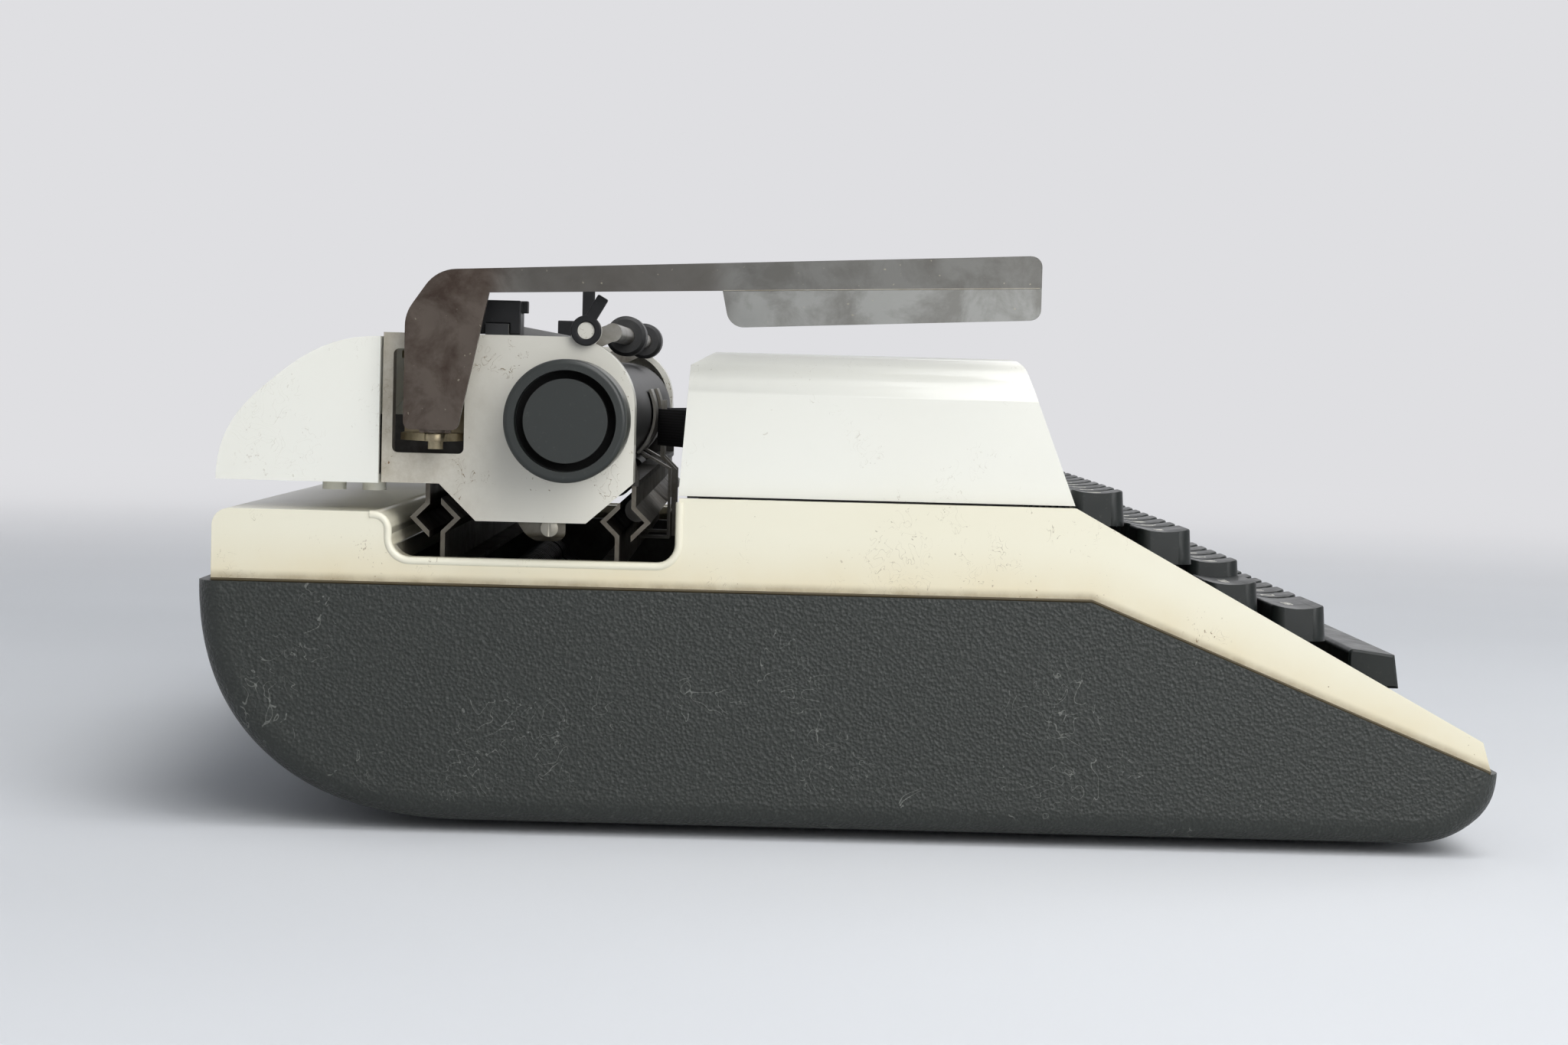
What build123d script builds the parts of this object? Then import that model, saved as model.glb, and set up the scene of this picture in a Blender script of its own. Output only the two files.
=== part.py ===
"""Portable typewriter, built as an assembly of separate pieces.

Millimetres, +Z up. The typist sits at -Y and looks along +Y. The origin is on the floor,
under the middle of the machine. The carriage stands at the middle of its travel.
"""
import math
import os

from build123d import *

os.makedirs("parts", exist_ok=True)

# Lower shell
shell_length = 343.2
shell_width = 340.0
shell_wall = 3.0
rim_height = 62.0
rear_curve_run = 70.6
front_curve_run = 23.0
front_nose_height = 19.4
front_nose_lip = 2.6
slope_run = 106.4
shell_edge_radius = 7.0

# Feet and fasteners
foot_height = 3.0
foot_edge_share = 0.2
foot_radius = 9.0

# Body shell
body_inset = 1.0
body_wall = 2.6
seam_gap = 0.8
deck_height = 19.0
trough_height = 7.0
trough_ahead_of_platen = 28.9
trough_behind_platen = 46.6
cover_seat_height = 24.5
body_edge_radius = 4.5
trough_round = 6.0
cheek_width = 22.0
keys_run = 92.0
space_gap = 1.8
nose_height = 30.8
nose_inset = 5.1
lip_depth = 5.0
fit_gap = 0.3
flange_width = 11.0

# Ribbon cover
cover_inset = 4.0
cover_wall = 2.5
cover_front_y = -57.9
cover_height = 38.0
cover_front_lean = 14.7
cover_rear_lean = 2.4
cover_rear_chamfer_height = 3.6
cover_rear_chamfer_run = 6.4
cover_top_round = 5.0
cover_side_round = 11.0
cover_gap = 0.5
ledge_depth = 5.5
well_half_width = 62.0
well_run = 52.0
well_corner_radius = 12.0
hinge_behind_front = 9.7
hinge_above_seat = 8.0
hinge_pin_radius = 2.0
hinge_plate = 3.0
hinge_ear_offset = 9.0
hinge_boss_share = 1.8
running_gap = 0.05

# Platen
platen_y = 74.9
platen_z = 109.2
platen_radius = 16.0
platen_core_radius = 11.0
platen_length = 288.0
shaft_radius = 3.0

# Carriage
carriage_width = 324.0
fairing_width = 330.0
end_cover_depth = 12.0
end_cover_wall = 2.0
carriage_floor_below = 17.6
end_ahead = 16.5
end_behind = 49.7
end_above = 21.7
end_below = 27.3
end_front_low_run = 12.2
end_front_low_rise = 10.8
end_rear_low_run = 25.0
end_rear_step_run = 9.8
end_rear_low = 17.7
end_front_round = 18.5
frame_plate = 3.0
window_rear = 47.0
window_front = 28.2
window_top = 17.5
window_bottom = 9.8
window_radius = 1.5

# Knobs
knob_radius = 15.8
knob_reach = 188.0
knob_length = 23.0
knob_socket_share = 0.75
knob_groove_outer = 13.0
knob_groove_inner = 10.8
knob_groove_depth = 6.0
knob_face_step = 1.0
knob_edge_radius = 1.2

# Rails: each rail is a pair of V sheets round a row of rollers
rail_z = 81.9
rear_rail_behind = 36.6
front_rail_ahead = 14.2
rail_half_diagonal = 6.8
rail_split = 1.5
rail_sheet = 1.2
rail_length = 300.0
rail_foot_drop = 6.0
roller_gap = 0.12
roller_length = 8.0
roller_spacing = 150.0
cage_half_height = 1.0

# Keyboard
key_pitch = 19.05
key_depth = 15.6
key_width = 15.8
key_height = 9.7
key_corner = 4.0
key_taper = 4.0
key_dish_radius = 25.0
key_dish_depth = 1.0
key_edge_radius = 0.7
row_pitch = 18.7
row_drop = 10.03
first_row_above_seat = 3.8
first_row_gap = 1.3
lever_sheet = 1.4
lever_depth = 7.0
lever_run_z = 27.0
stem_depth = 5.0
fulcrum_y = 100.0
fulcrum_z = 56.0
fulcrum_radius = 3.0
fulcrum_eye = 5.5
lever_elbow_back = 40.0
centre_column_share = 6.75

# Space bar
space_length = 190.0
space_depth = 14.0
space_height = 10.3
space_front_y = -159.3
space_top_z = 47.2
space_radius = 3.0
space_arm_x = 135.7
space_frame_rise = 2.6
space_post_share = 0.7

# Side frames and tie rods
frame_x = 141.5
frame_sheet = 2.5
frame_flange = 12.0
frame_floor_gap = 4.0
frame_front_y = -140.0
frame_rear_y = 140.0
frame_below_trough = 4.0
frame_neck_drop = 8.0
tie_radius = 3.5

# Type basket
print_gap = 2.1
typebar_length = 66.8
strike_lean = 58.9
basket_spread = 110.0
typebar_count = 43
typebar_sheet = 1.0
typebar_depth = 4.0
typebar_root = 3.0
typebar_clearance = 0.2
slug_length = 8.0
slug_depth = 6.5
slug_width = 2.4
rest_turn = 113.0
segment_inner_margin = 5.0
segment_outer_margin = 12.0
segment_front = 4.0
segment_back = 3.0
segment_arc = 124.0
segment_wire_radius = 0.9
wing_height = 8.0
wing_depth = 7.0
wing_leg_drop = 22.0
wing_leg_sheet = 2.6

# Ribbon
spool_x = 105.0
spool_y = 10.0
spool_radius = 26.0
spool_height = 14.0
spool_floor_z = 98.0
spool_flange = 1.0
spool_hub_radius = 6.0
spool_hole_share = 0.7
wound_radius = 21.0
cup_radius = 29.0
cup_wall = 1.2
cup_floor_drop = 0.6
cup_arm_width = 16.0
cup_strip_width = 7.0
spindle_radius = 2.0
ribbon_sheet = 0.4
ribbon_clear = 1.2
post_x = 48.0
post_y = 41.0
print_half_width = 12.0
post_radius = 1.5
vibrator_prong_x = 7.5
vibrator_prong_width = 3.0
vibrator_sheet = 1.2
vibrator_lean = 4.1
prong_share = 0.33
vibrator_lift = 8.0
guide_sheet = 0.8
guide_inner_x = 14.0
guide_width = 20.0
guide_leg_width = 6.0
guide_gap = 0.6
bench_ahead = 3.3
bench_behind = 5.5

# Platen fittings
bail_rod_radius = 2.5
bail_ahead = 9.4
bail_above = 23.3
bail_pivot_behind = 17.0
bail_pivot_above = 12.0
bail_sheet = 1.5
bail_gap_share = 0.33
bail_roller_radius = 5.9
bail_roller_length = 16.0
bail_roller_x = 64.0
bail_pin_radius = 2.0
feed_roller_radius = 4.6
feed_roller_length = 34.0
feed_roller_spacing = 90.0
feed_shaft_radius = 1.5
feed_roller_lean = 250.0
table_sheet = 0.8
table_gap = 1.4
table_rear_behind = 37.0
table_rear_above = 21.0

# Margin rail and stops
margin_behind = 20.2
margin_depth = 6.0
margin_height = 3.0
stop_width = 12.0
stop_tab_share = 0.33
stop_depth = 11.8
stop_height = 9.2
stop_x = 146.0
stop_tab = 1.6

# Rear fairing and its bumpers
fairing_front_gap = 0.4
fairing_reach = 42.5
fairing_rib_share = 0.2
fairing_height = 38.4
fairing_low_above_deck = 7.4
fairing_wall = 2.2
bumper_radius = 3.2
bumper_height = 2.6
bumper_x = 148.0

# Return lever and its bracket
lever_pivot_behind = 34.9
lever_pivot_x = 168.0
lever_plate_x = 171.0
lever_thickness = 2.0
lever_flange = 6.0
lever_low_above = 3.4
lever_tip_ahead = 121.5
lever_bar_above = 32.5
lever_bar_depth = 5.6
lever_bar_rise = 7.5
lever_handle_run = 82.5
lever_handle_depth = 16.6
lever_bend_radius = 10.0
lever_heel_radius = 4.5
lever_tip_radius = 2.8
lever_heel_lean_share = 0.33
lever_plate_foot_depth = 13.6
lever_pin_radius = 2.0
lever_lug = 2.0
bracket_sheet = 2.0
bracket_rise_share = 1.667
bracket_rise = 22.0
bracket_depth = 15.0
bracket_radius = 1.5

# Small levers of the carriage
space_pin_radius = 2.2
space_boss_radius = 4.0
space_boss_ahead = 3.4
space_boss_above = 23.4
space_blade_length = 9.5
space_blade_width = 3.0
space_blade_turn = 30.0
release_behind = 16.0
release_above = 9.0
release_radius = 5.0
release_reach = 33.5
release_tip = 4.6
release_thickness = 2.2
support_half = 35.0
support_depth = 16.0
support_sheet = 1.4
support_barrel_share = 1.2

# Mainspring drum
drum_radius = 20.0
drum_height = 12.0
drum_x = -110.0
drum_hole_share = 0.6

ROOT_Y = shell_length / 2
under_z = foot_height
rim_z = under_z + rim_height
slope_y = -ROOT_Y + front_nose_lip + slope_run
body_low_z = rim_z + seam_gap
deck_z = rim_z + deck_height
trough_z = rim_z + trough_height
seat_z = rim_z + cover_seat_height
trough_front_y = platen_y - trough_ahead_of_platen
trough_rear_y = platen_y + trough_behind_platen
body_half = shell_width / 2 - body_inset
body_rear_y = ROOT_Y - body_inset - shell_wall
cheek_x = body_half - cheek_width
carriage_half = carriage_width / 2
cover_half = body_half - cover_inset
cover_low_z = seat_z + cover_gap
hinge_y = cover_front_y + hinge_behind_front
hinge_z = seat_z + hinge_above_seat
ear_x = cheek_x + hinge_ear_offset
keys_front_y = cover_front_y - keys_run
frame_top_z = trough_z - frame_below_trough
frame_neck_z = frame_top_z - frame_neck_drop
carriage_floor_z = platen_z - carriage_floor_below
frame_low_z = under_z + shell_wall + frame_floor_gap
tie_places = (
    (frame_front_y + 2 * tie_radius, frame_low_z + tie_radius + fit_gap),
    (spool_y, frame_low_z + tie_radius + fit_gap),
    (frame_rear_y - 2 * tie_radius, fulcrum_z - frame_flange),
)
overrun = shell_width


def side_plane(x):
    """A sketch plane that looks along +X, so that sketch x is Y and sketch y is Z."""
    return Plane.YZ.offset(x)


def save(piece, name):
    """Label a finished piece and write its STEP file."""
    piece.part.label = name
    export_step(piece.part, "parts/" + name + ".step")


def shell_profile(inset):
    """Side profile of the lower shell, moved inwards by a wall thickness."""
    low = under_z + inset
    rear = ROOT_Y - inset
    front = -ROOT_Y + inset
    knee_y_share, knee_z_share = 0.737, 0.262
    flat_y = ROOT_Y - rear_curve_run
    knee = (flat_y + (rear - flat_y) * knee_y_share, low + (rim_z - low) * knee_z_share)
    nose_z = under_z + front_nose_height
    toe_y = -ROOT_Y + front_curve_run
    toe_y_share, toe_z_share = 0.3, 0.27
    toe = (front + (toe_y - front) * toe_y_share, low + (nose_z - low) * toe_z_share)
    with BuildLine() as outline:
        floor = Line((toe_y, low), (flat_y, low))
        heel = Spline(floor @ 1, knee, (rear, rim_z), tangents=((1, 0), (0, 1)))
        rim = Line(heel @ 1, (slope_y, rim_z))
        rise = inset * (rim_z - nose_z) / slope_run
        slope = Line(rim @ 1, (front + front_nose_lip, nose_z + rise))
        lip = Line(slope @ 1, (front, nose_z))
        Spline(lip @ 1, toe, floor @ 0, tangents=((0, -1), (1, 0)))
    make_face(outline.edges())


# Lower shell: moulded case with a rounded heel, standing on four feet
with BuildPart() as lower_shell:
    with BuildSketch(side_plane(-shell_width / 2)):
        shell_profile(0)
    extrude(amount=shell_width)
    sides = lower_shell.faces().filter_by(Axis.X).edges()
    below_rim = sides.filter_by(lambda edge: (edge @ 0.5).Z < rim_z - shell_wall)
    keel = below_rim.filter_by(
        lambda edge: (edge @ 0.5).Y > slope_y or (edge @ 0.5).Z < under_z + front_nose_height / 2
    )
    fillet(keel, shell_edge_radius)
    with BuildSketch(side_plane(-shell_width / 2 + shell_wall)):
        shell_profile(shell_wall)
    extrude(amount=shell_width - 2 * shell_wall, mode=Mode.SUBTRACT)
    with BuildSketch(Plane.XY.offset(under_z + shell_wall)):
        with GridLocations(2 * frame_x - frame_flange, shell_length / 2, 2, 2):
            Circle(foot_radius / 2 + shell_wall / 2)
    extrude(amount=frame_floor_gap)
save(lower_shell, "lower_shell")

# Rubber feet, one under each frame boss
with BuildPart() as rubber_feet:
    with BuildSketch(Plane.XY):
        with GridLocations(2 * frame_x - frame_flange, shell_length / 2, 2, 2):
            Circle(foot_radius)
    extrude(amount=foot_height)
    chamfer(rubber_feet.edges().group_by(Axis.Z)[0], foot_height * foot_edge_share)
save(rubber_feet, "rubber_feet")


def body_profile(inset, ledge):
    """Side profile of the upper body shell, moved inwards by a wall thickness and a ledge depth."""
    nose_y = -ROOT_Y + front_nose_lip + nose_inset / 2
    front_y = nose_y - nose_inset / 2 + fit_gap
    with BuildLine() as outline:
        Polyline(
            (body_rear_y - inset, body_low_z - inset),
            (body_rear_y - inset, deck_z - inset),
            (trough_rear_y + inset, deck_z - inset),
            (trough_rear_y + inset, trough_z - inset),
            (trough_front_y - inset, trough_z - inset),
            (trough_front_y - inset, seat_z - inset - ledge),
            (cover_front_y + inset / 2, seat_z - inset - ledge),
            (nose_y + inset, nose_height - inset),
            (front_y + inset, under_z + front_nose_height + seam_gap),
            (slope_y, body_low_z - inset),
            close=True,
        )
    make_face(outline.edges())


# Upper body shell: enamelled cover with the carriage trough, deck and keyboard opening
with BuildPart() as body_shell:
    with BuildSketch(side_plane(-body_half)) as body_side:
        body_profile(0, 0)
        corners = body_side.vertices()
        fillet(corners.filter_by_position(Axis.Y, deck_z - fit_gap, deck_z + fit_gap), body_edge_radius)
        corners = body_side.vertices()
        fillet(corners.filter_by_position(Axis.Y, trough_z - fit_gap, trough_z + fit_gap), trough_round)
    extrude(amount=2 * body_half)
    with BuildSketch(side_plane(-body_half + body_wall)):
        body_profile(body_wall, ledge_depth)
    extrude(amount=2 * (body_half - body_wall), mode=Mode.SUBTRACT)
    with BuildSketch(Plane.XY.offset(nose_height - body_wall)):
        with Locations((0, (trough_front_y + keys_front_y) / 2)):
            Rectangle(2 * cheek_x, trough_front_y - keys_front_y)
        with Locations((0, (keys_front_y + space_front_y - space_gap) / 2)):
            Rectangle(space_length + 4 * space_gap, keys_front_y - space_front_y + space_gap)
    extrude(amount=overrun, mode=Mode.SUBTRACT)
    with BuildSketch(Plane.XY.offset(under_z)):
        with Locations((0, (trough_front_y + trough_rear_y) / 2)):
            Rectangle(2 * (body_half - flange_width), trough_rear_y - trough_front_y)
    extrude(amount=trough_z, mode=Mode.SUBTRACT)
    with BuildSketch(Plane.XY.offset(seat_z - ledge_depth)):
        with Locations((0, (trough_front_y + cover_front_y) / 2)):
            Rectangle(2 * (cover_half + 4 * fit_gap), trough_front_y - cover_front_y + 2 * fit_gap)
    extrude(amount=overrun, mode=Mode.SUBTRACT)
    with BuildSketch(Plane.XY.offset(rim_z - lip_depth)):
        lip_x = shell_width / 2 - shell_wall - fit_gap - body_wall / 2
        with Locations((0, (body_rear_y - shell_wall + slope_y) / 2)):
            with GridLocations(2 * lip_x, 0, 2, 1):
                Rectangle(body_wall, body_rear_y - shell_wall - slope_y)
    extrude(amount=lip_depth + 2 * seam_gap)
save(body_shell, "body_shell")


def cover_block(inset):
    """Solid block of the ribbon cover, rounded over its top and side edges."""
    rear_y = trough_front_y + fit_gap - inset
    top = cover_low_z + cover_height - inset
    low = cover_low_z if inset == 0 else cover_low_z - cover_wall
    skew = inset * cover_front_lean / cover_height
    lean_y = cover_front_y + cover_front_lean + inset - skew
    with BuildPart() as block:
        with BuildSketch(side_plane(-cover_half + inset)) as side:
            with BuildLine():
                Polyline(
                    (rear_y, low),
                    (rear_y - cover_rear_lean, top - cover_rear_chamfer_height),
                    (rear_y - cover_rear_lean - cover_rear_chamfer_run, top),
                    (lean_y, top),
                    (cover_front_y + inset - skew, low),
                    close=True,
                )
            make_face()
            fillet(side.vertices().sort_by(Axis.X)[1], cover_top_round - inset)
        extrude(amount=2 * (cover_half - inset))
        with BuildSketch(Plane.XZ.offset(-ROOT_Y)) as front:
            with Locations((0, (low + top) / 2)):
                Rectangle(2 * (cover_half - inset), top - low)
            fillet(front.vertices().group_by(Axis.Y)[-1], cover_side_round - inset)
        extrude(amount=2 * ROOT_Y, mode=Mode.INTERSECT)
    return block.part


# Ribbon cover: hollow, open below, with a well for the typebars at its rear edge
cover_outside = cover_block(0)
cover_inside = cover_block(cover_wall)
with BuildPart() as ribbon_cover:
    add(cover_outside)
    add(cover_inside, mode=Mode.SUBTRACT)
    with BuildSketch(Plane.XY.offset(cover_low_z - cover_wall)) as well:
        with Locations((0, trough_front_y)):
            Rectangle(2 * well_half_width, 2 * well_run)
        fillet(well.vertices(), well_corner_radius)
    extrude(amount=overrun, mode=Mode.SUBTRACT)
    for side in (-1, 1):
        with BuildSketch(side_plane(side * ear_x - hinge_plate / 2)):
            with Locations((hinge_y, hinge_z)):
                Circle(2 * hinge_pin_radius)
            with Locations((hinge_y + fit_gap, hinge_z + hinge_pin_radius)):
                Rectangle(3 * hinge_pin_radius, 5 * hinge_pin_radius)
            with Locations((hinge_y, hinge_z)):
                Circle(hinge_pin_radius + running_gap, mode=Mode.SUBTRACT)
        extrude(amount=hinge_plate)
save(ribbon_cover, "ribbon_cover")

# Cover hinges: a bracket on each ledge with the pin that the cover turns on
with BuildPart() as cover_hinges:
    for side in (-1, 1):
        bracket_x = side * (ear_x - hinge_plate - 4 * fit_gap)
        ledge_z = seat_z - ledge_depth
        with BuildSketch(side_plane(bracket_x - hinge_plate / 2)):
            with Locations((hinge_y, hinge_z)):
                Circle(hinge_pin_radius * hinge_boss_share)
            with BuildLine():
                Polyline(
                    (hinge_y, hinge_z + hinge_pin_radius),
                    (hinge_y + 8 * hinge_pin_radius, ledge_z),
                    (hinge_y + 3 * hinge_pin_radius, ledge_z),
                    (hinge_y, hinge_z - hinge_pin_radius),
                    close=True,
                )
            make_face()
        extrude(amount=hinge_plate)
        with BuildSketch(side_plane(side * ear_x)):
            with Locations((hinge_y, hinge_z)):
                Circle(hinge_pin_radius)
        extrude(amount=2 * hinge_plate, both=True)
save(cover_hinges, "cover_hinges")

# Side frames: sheet steel plates with a turned-in foot on the shell bosses
for side, name in ((-1, "frame_left"), (1, "frame_right")):
    with BuildPart() as frame:
        with BuildSketch(side_plane(side * frame_x - frame_sheet / 2)):
            with BuildLine():
                Polyline(
                    (frame_front_y, frame_low_z),
                    (frame_front_y, frame_low_z + frame_flange),
                    (cover_front_y + frame_flange, frame_neck_z),
                    (trough_front_y, frame_neck_z),
                    (trough_front_y, frame_top_z),
                    (trough_rear_y + frame_sheet, frame_top_z),
                    (frame_rear_y, frame_neck_z),
                    (frame_rear_y, frame_low_z + 2 * frame_flange),
                    (ROOT_Y - rear_curve_run + frame_flange, frame_low_z),
                    close=True,
                )
            make_face()
            with Locations((fulcrum_y, fulcrum_z)):
                Circle(fulcrum_radius, mode=Mode.SUBTRACT)
            with Locations(*tie_places):
                Circle(tie_radius, mode=Mode.SUBTRACT)
        extrude(amount=frame_sheet)
        with BuildSketch(Plane.XY.offset(frame_low_z)):
            foot_x = side * (frame_x - frame_flange / 2)
            with GridLocations(2 * foot_x, shell_length / 2, 1, 2):
                with Locations((foot_x, 0)):
                    Rectangle(frame_flange, 2 * frame_flange)
        extrude(amount=frame_sheet)
    save(frame, name)

# Rods across the machine: the key levers' fulcrum and three tie rods
with BuildPart() as frame_rods:
    with BuildSketch(side_plane(-frame_x)):
        with Locations((fulcrum_y, fulcrum_z)):
            Circle(fulcrum_radius)
        with Locations(*tie_places):
            Circle(tie_radius)
    extrude(amount=2 * frame_x)
    with BuildSketch(Plane.XY.offset(fulcrum_z - frame_flange)):
        with Locations((drum_x, frame_rear_y - 2 * tie_radius)):
            Circle(fulcrum_radius)
    extrude(amount=tie_radius + frame_sheet + drum_height + fulcrum_radius)
save(frame_rods, "frame_rods")


def vee(middle_y, side):
    """Section of one V sheet of a rail, its point turned to the given side of the rail's middle."""
    reach = rail_half_diagonal
    skin = rail_sheet * math.sqrt(2)
    arm = reach - rail_split
    return [
        (middle_y + side * reach, rail_z),
        (middle_y + side * rail_split, rail_z + arm),
        (middle_y + side * rail_split, rail_z + arm - skin),
        (middle_y + side * (reach - skin), rail_z),
        (middle_y + side * rail_split, rail_z - arm + skin),
        (middle_y + side * rail_split, rail_z - arm),
    ]


rear_rail_y = platen_y + rear_rail_behind
front_rail_y = platen_y - front_rail_ahead
rail_places = ((rear_rail_y, 1), (front_rail_y, -1))
rail_low_z = rail_z - rail_half_diagonal + rail_split

# Fixed rails: V sheets that open outwards, with a foot down to the side frames
for (middle_y, outward), name in zip(rail_places, ("rear_rail", "front_rail")):
    with BuildPart() as rail:
        with BuildSketch(side_plane(-rail_length / 2)):
            with BuildLine():
                Polyline(*vee(middle_y, -outward), close=True)
            make_face()
            foot_y = middle_y - outward * (rail_split + rail_sheet / 2)
            with Locations((foot_y, (rail_low_z + frame_top_z) / 2 + rail_sheet / 2)):
                Rectangle(rail_sheet, rail_low_z - frame_top_z + rail_sheet)
            with Locations((foot_y - outward * rail_foot_drop / 2, frame_top_z + rail_sheet / 2)):
                Rectangle(rail_foot_drop, rail_sheet)
        extrude(amount=rail_length)
    save(rail, name)

# Carriage rails: V sheets that open inwards and hang from the carriage
with BuildPart() as carriage_rails:
    with BuildSketch(side_plane(-rail_length / 2)):
        for middle_y, outward in rail_places:
            with BuildLine():
                Polyline(*vee(middle_y, outward), close=True)
            make_face()
            hang_y = middle_y + outward * (rail_split + rail_sheet / 2)
            hang_low = rail_z + rail_half_diagonal - rail_split - rail_sheet
            with Locations((hang_y, (hang_low + carriage_floor_z) / 2)):
                Rectangle(rail_sheet, carriage_floor_z - hang_low)
    extrude(amount=rail_length)
save(carriage_rails, "carriage_rails")

# Rail rollers in two cage strips; they roll half as far as the carriage
roller_radius = (rail_half_diagonal - rail_sheet * math.sqrt(2)) / math.sqrt(2) - roller_gap
with BuildPart() as rail_rollers:
    for middle_y, outward in rail_places:
        for place in (-1, 0, 1):
            with BuildSketch(side_plane(place * roller_spacing / 2 - roller_length / 2)):
                with Locations((middle_y, rail_z)):
                    Circle(roller_radius)
            extrude(amount=roller_length)
        with BuildSketch(side_plane(-roller_spacing / 2)):
            with Locations((middle_y, rail_z)):
                Rectangle(cage_half_height, 2 * cage_half_height)
        extrude(amount=roller_spacing)
save(rail_rollers, "rail_rollers")


def column_x(unit_share):
    """Place of a key across the machine, counted in key widths from the left."""
    return (unit_share - centre_column_share) * key_pitch


def row_front(row):
    """Front edge of a key row."""
    return cover_front_y - first_row_gap - key_depth - row * row_pitch


def row_top(row):
    """Top of a key row."""
    return seat_z + first_row_above_seat - row * row_drop


def lever_section(row, low_share):
    """Side view of a key lever: stem, run under the basket and eye on the fulcrum rod."""
    stem_y = row_front(row) + key_depth / 2
    stem_top = row_top(row) - key_height - low_share * key_height - running_gap
    half = lever_depth / 2
    elbow_y = fulcrum_y - lever_elbow_back
    with BuildLine() as outline:
        Polyline(
            (stem_y - stem_depth / 2, stem_top),
            (stem_y - stem_depth / 2, lever_run_z - half),
            (elbow_y + half, lever_run_z - half),
            (fulcrum_y, fulcrum_z - half),
            (fulcrum_y, fulcrum_z + half),
            (elbow_y - half, lever_run_z + half),
            (stem_y + stem_depth / 2, lever_run_z + half),
            (stem_y + stem_depth / 2, stem_top),
            close=True,
        )
    make_face(outline.edges())
    with Locations((fulcrum_y, fulcrum_z)):
        Circle(fulcrum_eye)
        Circle(fulcrum_radius + running_gap, mode=Mode.SUBTRACT)


def key_cap(width):
    """One moulded key cap, its underside at zero, with a dished top."""
    with BuildPart() as cap:
        with BuildSketch():
            RectangleRounded(width, key_depth, key_corner)
        extrude(amount=key_height, taper=key_taper)
        fillet(cap.edges().group_by(Axis.Z)[-1], key_edge_radius)
        with BuildSketch(side_plane(-width)):
            with Locations((0, key_height + key_dish_radius - key_dish_depth)):
                Circle(key_dish_radius)
        extrude(amount=2 * width, mode=Mode.SUBTRACT)
    return cap.part


def put_cap(cap, x, row, low_share):
    """Set a key cap on its stem."""
    low = row_top(row) - key_height - low_share * key_height
    with Locations((x, row_front(row) + key_depth / 2, low)):
        add(cap)


# Character keys: four rows of caps, and a row of flat steel levers under each
plain_cap = key_cap(key_width)
row_start_shares = (0, 1.5, 1.75, 2.25)
row_key_counts = (13, 11, 12, 10)
struck_row, struck_key = 2, 5
for row, (start_share, count) in enumerate(zip(row_start_shares, row_key_counts)):
    columns = [column_x(start_share + key) for key in range(count)]
    if row == struck_row:
        struck_x = columns.pop(struck_key)
    with BuildPart() as key_row:
        for x in columns:
            put_cap(plain_cap, x, row, 0)
    save(key_row, "keys_row_" + str(row + 1))
    with BuildPart() as lever_row:
        for x in columns:
            with BuildSketch(side_plane(x - lever_sheet / 2)):
                lever_section(row, 0)
            extrude(amount=lever_sheet)
    save(lever_row, "levers_row_" + str(row + 1))

# The one key that is followed through to its typebar
with BuildPart() as struck_cap:
    put_cap(plain_cap, struck_x, struck_row, 0)
save(struck_cap, "struck_key")
with BuildPart() as struck_lever:
    with BuildSketch(side_plane(struck_x - lever_sheet / 2)):
        lever_section(struck_row, 0)
    extrude(amount=lever_sheet)
save(struck_lever, "struck_key_lever")

# Function keys: wide caps at the ends of the rows, each on its own lever
lock_low_share = 0.4
edge_x = column_x(0) - key_width / 2
end_x = column_x(2 * centre_column_share) + key_width / 2
function_keys = (
    ("tab_key", 1, edge_x, column_x(1.5) - key_pitch + key_width / 2, column_x(0.25), 0),
    ("shift_lock_key", 2, edge_x, column_x(1.75) - key_pitch + key_width / 2, column_x(0.5), lock_low_share),
    ("margin_release_key", 1, column_x(11.5) + key_pitch - key_width / 2, end_x, column_x(12.5), 0),
)
for name, row, left_x, right_x, lever_x, low_share in function_keys:
    with BuildPart() as function_key:
        put_cap(key_cap(right_x - left_x), (left_x + right_x) / 2, row, low_share)
        with BuildSketch(side_plane(lever_x - lever_sheet / 2)):
            lever_section(row, low_share)
        extrude(amount=lever_sheet)
    save(function_key, name)

# Shift keys: two wide caps, and the levers joined by one bar so that both go down together
shift_caps = (
    (edge_x, column_x(2.25) - key_pitch + key_width / 2),
    (column_x(11.25) + key_pitch - key_width / 2, end_x),
)
with BuildPart() as shift_keys:
    for left_x, right_x in shift_caps:
        put_cap(key_cap(right_x - left_x), (left_x + right_x) / 2, 3, 0)
save(shift_keys, "shift_keys")
with BuildPart() as shift_bail:
    for x in (column_x(0.75), column_x(13.25)):
        with BuildSketch(side_plane(x - lever_sheet / 2)):
            lever_section(3, 0)
        extrude(amount=lever_sheet)
save(shift_bail, "shift_levers")

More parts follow.
